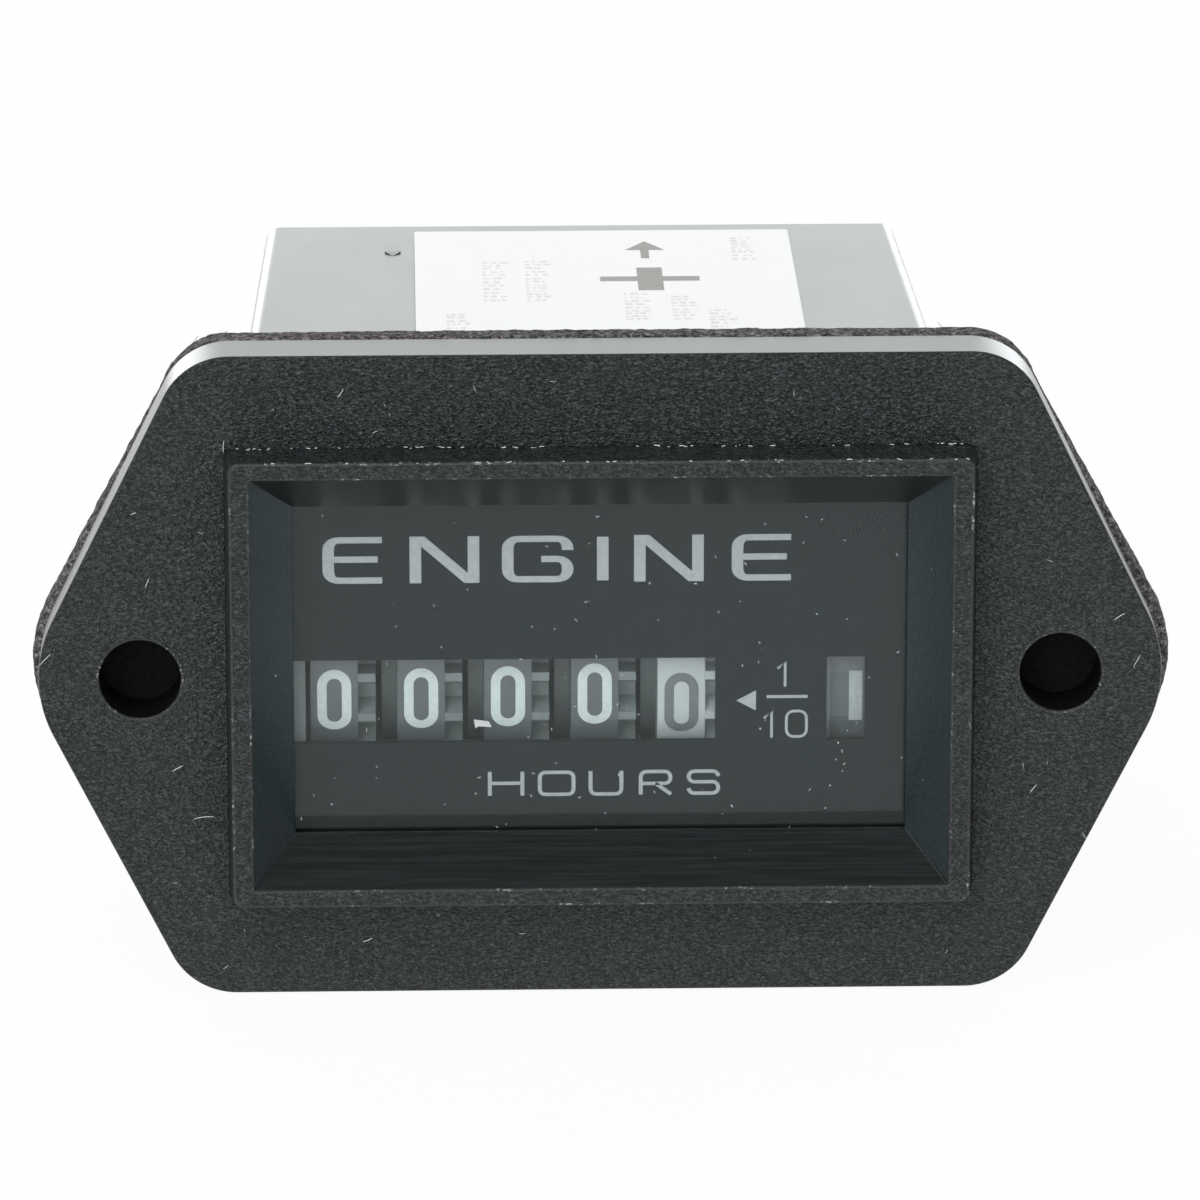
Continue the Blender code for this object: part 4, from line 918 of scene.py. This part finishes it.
# Letters and figures as strokes of x,z points in a box of width and height 1
STROKES = {
    "E": ("1,1 0,1 0,0 1,0", "0.104,0.52 0.92,0.52"),
    "G": ("1,0.72 1,1 0,1 0,0 1,0 1,0.5 0.56,0.5",),
    "I": ("0,-0.04 0,1.04",),
    "H": ("0,-0.04 0,1.04", "1,-0.04 1,1.04", "0.04,0.52 0.96,0.52"),
    "O": ("0,0 1,0 1,1 0,1 closed",),
    "U": ("0,1.04 0,0 1,0 1,1.04",),
    "R": ("0,-0.04 0,1 1,1 1,0.46 0.06,0.46", "0.5,0.46 1.02,-0.03"),
    "S": ("1,0.78 1,1 0,1 0,0.52 1,0.52 1,0 0,0 0,0.22",),
    "0": ("0,0 1,0 1,1 0,1 closed",),
    "1": ("0.1,0.72 0.62,1 0.62,-0.04",),
    "2": ("0,0.74 0,1 1,1 1,0.55 0,0.2 0,0 1.05,0",),
    "3": ("0,0.8 0,1 1,1 1,0.52 0.3,0.52", "0.3,0.52 1,0.52 1,0 0,0 0,0.2"),
    "4": ("0.78,-0.04 0.78,1 0,0.3 1.12,0.3",),
    "5": ("1,1 0.05,1 0,0.54 1,0.54 1,0 0,0 0,0.18",),
    "6": ("0.95,0.84 0.95,1 0,1 0,0 1,0 1,0.54 0.06,0.54",),
    "7": ("0,1 1,1 0.36,-0.04",),
    "8": ("0,0 1,0 1,0.52 0,0.52 closed", "0.05,0.52 0.95,0.52 0.95,1 0.05,1 closed"),
    "9": ("0.05,0.16 0.05,0 1,0 1,1 0,1 0,0.46 0.94,0.46",),
}


def stroke_points(stroke):
    """A written stroke's points, and whether its end joins its start."""
    closed = stroke.endswith(" closed")
    pairs = stroke.removesuffix(" closed").split()
    return [tuple(float(part) for part in pair.split(",")) for pair in pairs], closed


def letter_n(shape, box, post, place):
    """The letter N as one outline: two posts and a slanting stroke."""
    x0, x1, z0, z1 = box
    slant = 1.3 * post
    meet = (z1 - z0) * post / (x1 - x0 - slant)
    upper = [(x0, z0), (x0, z1), (x0 + slant, z1), (x1 - post, z0 + meet), (x1 - post, z1)]
    lower = [(x1, z1), (x1, z0), (x1 - slant, z0), (x0 + post, z1 - meet), (x0 + post, z0)]
    prism(shape, upper + lower, place)


def write(shape, glyph, box, pen, radius, place, step=10.0):
    """One glyph in a box (x0, x1, z0, z1) measured over its strokes."""
    if glyph == "N":
        letter_n(shape, box, pen[0], place)
        return
    x0, x1, z0, z1 = box
    left, right = x0 + pen[0] / 2, x1 - pen[0] / 2
    low, high = z0 + pen[1] / 2, z1 - pen[1] / 2
    for stroke in STROKES[glyph]:
        points, closed = stroke_points(stroke)
        path = [(left + (right - left) * u, low + (high - low) * v) for u, v in points]
        ends = radius if closed else 0.0
        radii = [ends] + [radius] * (len(path) - 2) + [ends]
        path = rounded(path, radii, 8 if closed else 5) if len(path) > 2 else path
        band(shape, fine_path(path, closed, step), closed, pen, place)


def on_dial(x, z):
    """Front and rear of the ink at a place on the dial."""
    return (x, DIAL_FACE - PRINT_T, z), (x, DIAL_FACE - 0.002, z)


# Print on the dial: boxes over the strokes, pens as (upright stroke, level stroke) widths
UPPER_WORD = (("E", -15.31, -11.7), ("N", -10.5, -6.65), ("G", -5.4, -1.45), ("I", -0.15, 0.55),
              ("N", 1.9, 5.75), ("E", 7.3, 10.9))
UPPER_Z = (4.62, 7.32)
UPPER_PEN = (0.64, 0.36)
LOWER_WORD = (("H", -6.23, -4.2), ("O", -3.45, -1.35), ("U", -0.62, 1.32), ("R", 2.18, 4.05),
              ("S", 4.85, 6.72))
LOWER_Z = (-7.92, -6.42)
LOWER_PEN = (0.22, 0.2)
THIN_PEN = (0.15, 0.15)
ARROW = ((7.6, -2.38), (8.68, -2.97), (8.69, -1.79))
BAR = (9.28, 11.56, -2.17)
TENTH_TOP = (9.72, 10.68, -1.6, -0.07)
TENTH_ONE = (8.98, 9.95, -4.59, -2.94)
TENTH_ZERO = (10.31, 11.58, -4.6, -2.95)
DOT = (8.93, -4.05)


def build_print():
    """The words, arrow and one-tenth sign on the dial."""
    shape = bmesh.new()
    for glyph, x0, x1 in UPPER_WORD:
        write(shape, glyph, (x0, x1, *UPPER_Z), UPPER_PEN, 0.55, on_dial)
    for glyph, x0, x1 in LOWER_WORD:
        write(shape, glyph, (x0, x1, *LOWER_Z), LOWER_PEN, 0.32, on_dial)
    write(shape, "1", TENTH_TOP, THIN_PEN, 0.0, on_dial)
    write(shape, "1", TENTH_ONE, THIN_PEN, 0.0, on_dial)
    write(shape, "0", TENTH_ZERO, THIN_PEN, 0.42, on_dial)
    band(shape, [(BAR[0], BAR[2]), (BAR[1], BAR[2])], False, (0.17, 0.17), on_dial)
    prism(shape, ARROW, on_dial)
    prism(shape, circle(*DOT, 0.06, 10), on_dial)
    new_piece("dial_print", shape, [DIAL_INK], "case")


# Number wheels

def swept(shape, profile, x_axis, steps, slot):
    """A turned ring about the wheels' axis from (x, radius) points; closed round its section."""
    rows = []
    for step in range(steps):
        angle = TURN * step / steps
        rows.append([shape.verts.new((x_axis + x, WHEEL_AXIS[0] + r * cos(angle),
                                      WHEEL_AXIS[1] + r * sin(angle))) for x, r in profile])
    skin(shape, rows + rows[:1], slot)


def rim_section(half, outer, edge):
    """A rim's section, its two outer edges rounded."""
    arc = quarter(edge, 4)
    left = [(-half + along, outer - inward) for inward, along in arc]
    right = [(half - inward, outer - along) for inward, along in arc]
    return [(-half, BORE_R)] + left + right + [(half, BORE_R)]


def gear_points(teeth, module, phase):
    """A gear's outline as (y, z) points about its own middle."""
    root = teeth * module / 2 - 1.25 * module
    tip = teeth * module / 2 + module
    pitch = TURN / teeth
    points = []
    for tooth in range(teeth):
        middle = phase + tooth * pitch
        for radius, share in ((root, -0.28), (root + 0.5 * (tip - root), -0.21), (tip, -0.1), (tip, 0.1),
                              (root + 0.5 * (tip - root), 0.21), (root, 0.28)):
            points.append(polar(radius, middle + share * pitch))
    return points


def disc(shape, outline, x0, x1, slot):
    """A flat toothed disc from x0 to x1 with the wheel's bore in it."""
    walls = []
    for points in (outline, circle(0.0, 0.0, BORE_R * 1.4, 24)):
        pair = [[shape.verts.new((x, WHEEL_AXIS[0] + y, WHEEL_AXIS[1] + z)) for y, z in points]
                for x in (x0, x1)]
        skin(shape, pair, slot)
        walls.append(pair)
    for end in (0, 1):
        fill(shape, [walls[0][end], walls[1][end]], slot)


def carry_points():
    """The carry disc's outline: round with two teeth."""
    points = []
    for step in range(20):
        angle = TURN * step / 20
        points.append(polar(CARRY_ROOT_R, angle))
        if step in (0, 1):
            middle = angle + pi / 20
            points += [polar(CARRY_TIP_R, middle + side) for side in (-CARRY_TOOTH, CARRY_TOOTH)]
    return points


DIGIT_W = 1.9
DIGIT_H = 3.55
DIGIT_PEN = (0.53, 0.5)
DIGIT_R = 0.67
DIGIT_DROPS = (0.12, 0.07, 0.0, -0.12, 0.44)
INK_PROUD = 0.012
INK_SUNK = 0.01


def on_rim(x_axis, turn):
    """A place function that wraps flat (x, z) round a rim, its zero turned down by an angle."""
    def place(x, z):
        angle = turn - z / WHEEL_R
        return [(x_axis + x, WHEEL_AXIS[0] - reach * cos(angle), WHEEL_AXIS[1] - reach * sin(angle))
                for reach in (WHEEL_R + INK_PROUD, WHEEL_R - INK_SUNK)]
    return place


def build_wheel(index):
    """A number wheel with its gear disc, carry disc and ten figures."""
    name = WHEEL_NAMES[index]
    x = WHEEL_X[index]
    last = index == len(WHEEL_NAMES) - 1
    shape = bmesh.new()
    swept(shape, rim_section(RIM_HALF, WHEEL_R, 0.08), x, 120, 0)
    teeth = gear_points(COARSE_TEETH, COARSE_MODULE, pi / COARSE_TEETH)
    disc(shape, teeth, x + RIM_HALF - 0.05, x + RIM_HALF + GEAR_W, 1)
    if index > 0:
        disc(shape, carry_points(), x - RIM_HALF - CARRY_W, x - RIM_HALF + 0.05, 2)
    body = "wheel_" + name
    # The discs beside the rims take the lighter grey: painted light in the shade between wheels.
    looks = [WHEEL_WHITE, WHEEL_WHITE, WHEEL_GEARS_PAINTED_LIGHT] if last else [WHEEL_BLACK, WHEEL_GEARS_PAINTED_LIGHT, WHEEL_GEARS_PAINTED_LIGHT]
    wheel = new_piece("wheel_%s" % name, shape, looks, body)
    weigh_normals(wheel)
    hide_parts("number_wheel_" + name)

    shape = bmesh.new()
    drop = DIGIT_DROPS[index] / WHEEL_R
    box = (-DIGIT_W / 2, DIGIT_W / 2, -DIGIT_H / 2, DIGIT_H / 2)
    for figure in range(10):
        write(shape, str(figure), box, DIGIT_PEN, DIGIT_R, on_rim(x, drop + TURN * figure / 10), 0.25)
    look = DIGIT_DARK if last else DIGIT_PALE
    new_piece("figures_" + name, shape, [look], body, 40)


RUN_BARS = 8
RUN_BAR_W = 0.74
RUN_BAR_H = 2.92
RUN_BAR_X = 0.6
RUN_BAR_MID = -0.09
# Where the painted strip of light runs round the rim, across it.
RUN_PAINTED_LIGHT_X = (-1.13, -0.83)


def build_run_marks():
    """White bars round the run indicator's rim, to the right and the left by turns, and a pale ring near its
    left side that is a painted strip of light.
    """
    shape = bmesh.new()
    for number in range(RUN_BARS):
        centre = RUN_BAR_X if number % 2 == 0 else -RUN_BAR_X
        path = [(centre, -RUN_BAR_H / 2 + RUN_BAR_H * k / 8) for k in range(9)]
        place = on_rim(INDICATOR_X, -RUN_BAR_MID / WHEEL_R + TURN * number / RUN_BARS)
        band(shape, path, False, (RUN_BAR_W, RUN_BAR_W), place)
    # A pale ring round the rim near the window's left edge: painted light, not print.
    edge = box_points(*RUN_PAINTED_LIGHT_X, WHEEL_R + INK_PROUD, WHEEL_R - INK_SUNK)
    swept(shape, edge, INDICATOR_X, 120, 1)
    new_piece("run_marks", shape, [RUN_PALE, RUN_PAINTED_LIGHT], "indicator", 40)


# Label

LABEL_X = (-10.0, 12.4)
LABEL_Y = (8.508, 42.008)
LABEL_T = 0.15
LABEL_GAP = 0.1
LABEL_R = 0.12
# How far the film's edge draws in as it rises
LABEL_EDGE = ((0.0, 0.0), (0.0, 0.1), (0.02, 0.135), (0.06, 0.15))


def label_top(y):
    """Height of the label's upper face at a depth."""
    return MIDDLE_Z + body_half(y)[1] + LABEL_GAP + LABEL_T


def on_label(x, y):
    """Lower and upper point of the ink at a place on the label."""
    return (x, y, label_top(y) - 0.004), (x, y, label_top(y) + 0.012)


# Marks on the label as (x0, x1, y0, y1)
PLUS_ARMS = ((0.86, 3.05, 30.2, 31.2), (4.55, 6.7, 30.2, 31.2))
PLUS_POST = (3.05, 4.55, 28.1, 33.2)
ARROW_HEAD = ((3.7, 39.3), (2.51, 37.3), (4.83, 37.3))
ARROW_STEM = (3.4, 3.9, 35.4, 37.4)
# Columns of faint marks as (x, y0, y1)
TEXT_ROWS = ((-5.4, 25.9, 34.8), (-2.9, 25.9, 34.7), (2.78, 21.6, 27.2), (5.5, 21.6, 27.1),
             (9.45, 34.9, 39.9), (-7.6, 14.0, 23.0), (0.4, 11.0, 18.6), (7.6, 12.0, 24.0))


def build_label():
    """White label film with soft edges, and its printed marks."""
    shape = bmesh.new()
    rings = []
    for inset, up in LABEL_EDGE:
        corners = box_points(LABEL_X[0] + inset, LABEL_X[1] - inset, LABEL_Y[0] + inset, LABEL_Y[1] - inset)
        outline = rounded(corners, [LABEL_R - inset] * 4, 10)
        rings.append([shape.verts.new((x, y, label_top(y) - LABEL_T + up)) for x, y in outline])
    skin(shape, rings, 0)
    fill(shape, [rings[0]], 0)
    fill(shape, [rings[-1]], 0)
    label = new_piece("label_film", shape, [LABEL], "case")
    weigh_normals(label)
    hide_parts("rating_label")

    shape = bmesh.new()
    for mark in PLUS_ARMS + (PLUS_POST, ARROW_STEM):
        prism(shape, box_points(*mark), on_label)
    prism(shape, ARROW_HEAD, on_label)
    new_piece("label_print", shape, [LABEL_INK], "case")

    shape = bmesh.new()
    draw = random.Random(3)
    for x, y0, y1 in TEXT_ROWS:
        y = y0
        while y < y1:
            left = x - 0.62
            while left < x + 0.5:
                width = draw.uniform(0.1, 0.5)
                prism(shape, box_points(left, left + width, y, y + draw.uniform(0.16, 0.34)), on_label)
                left += width + draw.uniform(0.1, 0.3)
            y += draw.uniform(0.55, 0.9)
    new_piece("label_rows", shape, [FAINT_INK], "case")


# Dust and debris

# Marks on the flange as (x, z, length, angle)
FLANGE_LINT = ((-30.6, 1.2, 0.9, 0.8), (-24.9, 5.6, 0.55, 1.2), (-23.4, -5.2, 0.7, 0.5),
               (-22.0, -8.1, 1.1, 0.1), (-25.6, 9.6, 0.3, 0.4), (-20.6, 13.4, 0.7, 1.5),
               (-14.2, 16.4, 0.6, 1.0), (29.6, 0.6, 0.8, 1.1), (28.6, 3.2, 0.7, 0.6),
               (24.0, -6.8, 0.6, 0.9), (26.9, -9.6, 0.5, 2.2), (-13.0, -15.4, 0.6, 0.4))
LINT_W = 0.022
FINE_LINT_W = 0.014
LINT_CLEAR = 0.8
HOLE_CLEAR = 0.5
# The slanted sides, as the steepness and reach of a line that lint stays within
SLANT = 2.03
SLANT_REACH = 62
# Rows of nicks as (y, z, count): along the frame's foot and along its front edge
NICK_ROWS = ((FLANGE_FRONT - 0.05, FRAME_HALF[1] + FRAME_DRAFT + MIDDLE_Z + 0.06, 46),
             (FRAME_FRONT + 0.05, FRAME_HALF[1] + MIDDLE_Z - 0.02, 26))
DEBRIS = ((-7.0, -3.6), (-6.15, -3.72), (-6.0, -4.05), (-6.75, -4.0), (-6.9, -4.12))
DEBRIS_Y = (-1.6, -1.57)


def lint(shape, draw, place, length, angle, width):
    """A short bent fibre that lies on a face."""
    direction = Vector((cos(angle), 0, sin(angle)))
    side = Vector((-direction.z, 0, direction.x))
    bend = draw.uniform(-0.2, 0.2)
    points = [Vector(place) + direction * length * t + side * bend * length * (0.25 - t * t)
              for t in (-0.5, -0.25, 0, 0.25, 0.5)]
    hair(shape, points, width)


def lint_stays_off(x, z):
    """Whether a place is on the frame, in a screw hole or past the slanted sides."""
    on_frame = abs(x) < FRAME_HALF[0] + LINT_CLEAR and abs(z - MIDDLE_Z) < FRAME_HALF[1] + LINT_CLEAR
    in_hole = hypot(abs(x) - HOLE_X, z) < HOLE_R + HOLE_CLEAR
    return on_frame or in_hole or abs(x) * SLANT + abs(z) > SLANT_REACH


def build_dust():
    """White lint and nicks on the flange, the frame and the lens, and one crumb behind the lens."""
    draw = random.Random(5)
    shape = bmesh.new()
    face = FLANGE_FRONT - 0.015
    for x, z, length, angle in FLANGE_LINT:
        lint(shape, draw, (x, face, z), length, angle, LINT_W)
    for _ in range(60):
        x = draw.uniform(-28, 28)
        z = draw.uniform(-17, 17)
        if not lint_stays_off(x, z):
            lint(shape, draw, (x, face, z), draw.uniform(0.08, 0.4), draw.uniform(0, pi), FINE_LINT_W)
    for y, z, count in NICK_ROWS:
        for _ in range(count):
            x = draw.uniform(-FRAME_HALF[0], FRAME_HALF[0])
            place = (x, y, z + draw.uniform(-0.06, 0.04))
            lint(shape, draw, place, draw.uniform(0.05, 0.4), draw.uniform(-0.3, 0.3), LINT_W)
    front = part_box("lens")[0].y / MM - 0.03
    for _ in range(110):
        x = draw.uniform(-DIAL_HALF[0], DIAL_HALF[0])
        z = draw.uniform(-DIAL_HALF[1], DIAL_HALF[1])
        lint(shape, draw, (x, front, z), draw.uniform(0.04, 0.22), draw.uniform(0, pi),
             draw.uniform(0.012, 0.03))
    new_piece("lint", shape, [FIBRE_WHITE], "case", 80)

    shape = bmesh.new()
    prism(shape, DEBRIS, lambda x, z: [(x, y, z) for y in DEBRIS_Y])
    new_piece("debris", shape, [FIBRE_WHITE], "case")


# Light, floor and camera

WORLD_FILL = 0.42
GLOSS_OVERHEAD = 0.25
FLOOR_GLOW = 0.95
FLOOR_REACH = 6.0
AIM = (0, 0.02, 0)
WHITE = (1, 1, 1)
# Lamps as name, place, size, watts and colour
LAMPS = (
    ("rear_light", (0, 1.3, 0.46), (2.8, 1.1), 13, (0.95, 1.0, 1.0)),
    ("left_rim", (-0.42, 1.2, 0.03), (0.5, 0.4), 2.3, WHITE),
    ("right_rim", (0.42, 1.2, 0.03), (0.5, 0.4), 1.6, (0.93, 0.98, 1.0)),
    ("key_light", (-0.5, -1.0, 1.5), (1.2, 1.2), 13, WHITE),
    ("front_light", (-0.4, -1.6, 0.55), (1.4, 0.8), 9, WHITE),
)


def aim(thing, at, towards):
    """Put a lamp or camera at a place and turn it towards another."""
    thing.location = at
    thing.rotation_euler = (Vector(towards) - Vector(at)).to_track_quat("-Z", "Y").to_euler()


def add_light(name, at, size, power, colour):
    """A soft rectangular lamp."""
    lamp = bpy.data.lights.new(name, "AREA")
    lamp.shape = "RECTANGLE"
    lamp.size, lamp.size_y = size
    lamp.energy = power
    lamp.color = colour
    holder = new_object(name, lamp)
    aim(holder, at, AIM)
    holder.visible_camera = False


def build_world():
    """White where it is seen, white at the horizon and dim overhead in gloss, and a soft fill elsewhere."""
    world = bpy.data.worlds.new("studio")
    bpy.context.scene.world = world
    world.use_nodes = True
    ground = world.node_tree.nodes["Background"]
    preset(ground, {"Color": (1, 1, 1, 1)})
    path = add_node(world, "LightPath")
    place = add_node(world, "TexCoord")
    split = add_node(world, "SeparateXYZ")
    join(world, place.outputs["Generated"], split.inputs["Vector"])
    overhead = add_node(world, "MapRange")
    preset(overhead, {"From Min": 0.02, "From Max": 0.5, "To Min": 1.0, "To Max": GLOSS_OVERHEAD})
    join(world, split.outputs["Z"], overhead.inputs["Value"])
    seen = combine(world, "MAXIMUM", path.outputs["Is Camera Ray"], path.outputs["Is Transmission Ray"])
    plain = combine(world, "ADD", combine(world, "MULTIPLY", seen, 1.0 - WORLD_FILL), WORLD_FILL)
    glossy = path.outputs["Is Glossy Ray"]
    shown = combine(world, "MULTIPLY", glossy, overhead.outputs["Result"])
    rest = combine(world, "MULTIPLY", plain, combine(world, "SUBTRACT", 1.0, glossy))
    join(world, combine(world, "ADD", shown, rest), ground.inputs["Strength"])


def floor_look():
    """Pale and dull, and glowing white where it is seen."""
    look = material("floor", (0.95, 0.95, 0.95), 0.9)
    glow = add_node(look, "Emission")
    path = add_node(look, "LightPath")
    seen = combine(look, "MAXIMUM", path.outputs["Is Camera Ray"], path.outputs["Is Glossy Ray"])
    seen = combine(look, "MAXIMUM", seen, path.outputs["Is Transmission Ray"])
    share = combine(look, "MULTIPLY", seen, FLOOR_GLOW)
    mix_shaders(look, share, shader_of(look).outputs["BSDF"], glow.outputs["Emission"])
    return look


def build_floor():
    """A floor that shows white and keeps a soft shadow."""
    mesh = bpy.data.meshes.new("floor")
    corners = box_points(-FLOOR_REACH, FLOOR_REACH, -FLOOR_REACH, FLOOR_REACH)
    mesh.from_pydata([(x, y, CAD_LOW.z) for x, y in corners], [], [(0, 1, 2, 3)])
    mesh.materials.append(floor_look())
    floor = new_object("floor", mesh)


def build_camera():
    """The camera at the photograph's place."""
    data = bpy.data.cameras.new("camera")
    data.lens = LENS_MM
    data.sensor_width = SENSOR_MM
    data.clip_start = 0.02
    data.clip_end = 20
    camera = new_object("camera", data)
    aim(camera, CAMERA_AT, CAMERA_LOOKS_AT)
    bpy.context.scene.camera = camera


def build_stage():
    """Camera, floor, world and lamps."""
    build_camera()
    build_world()
    build_floor()
    for lamp in LAMPS:
        add_light(*lamp)


def dress_nodes():
    """Give each carried-over CAD node its material."""
    for name, look in NODE_LOOKS.items():
        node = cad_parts[name]
        node.data.materials.clear()
        node.data.materials.append(look)


def main():
    """Build every piece, then the stage."""
    bpy.context.scene.view_settings.view_transform = "Standard"
    build_housing()
    build_gasket()
    build_print()
    for index in range(len(WHEEL_NAMES)):
        build_wheel(index)
    build_run_marks()
    build_label()
    build_dust()
    dress_nodes()
    build_stage()


main()
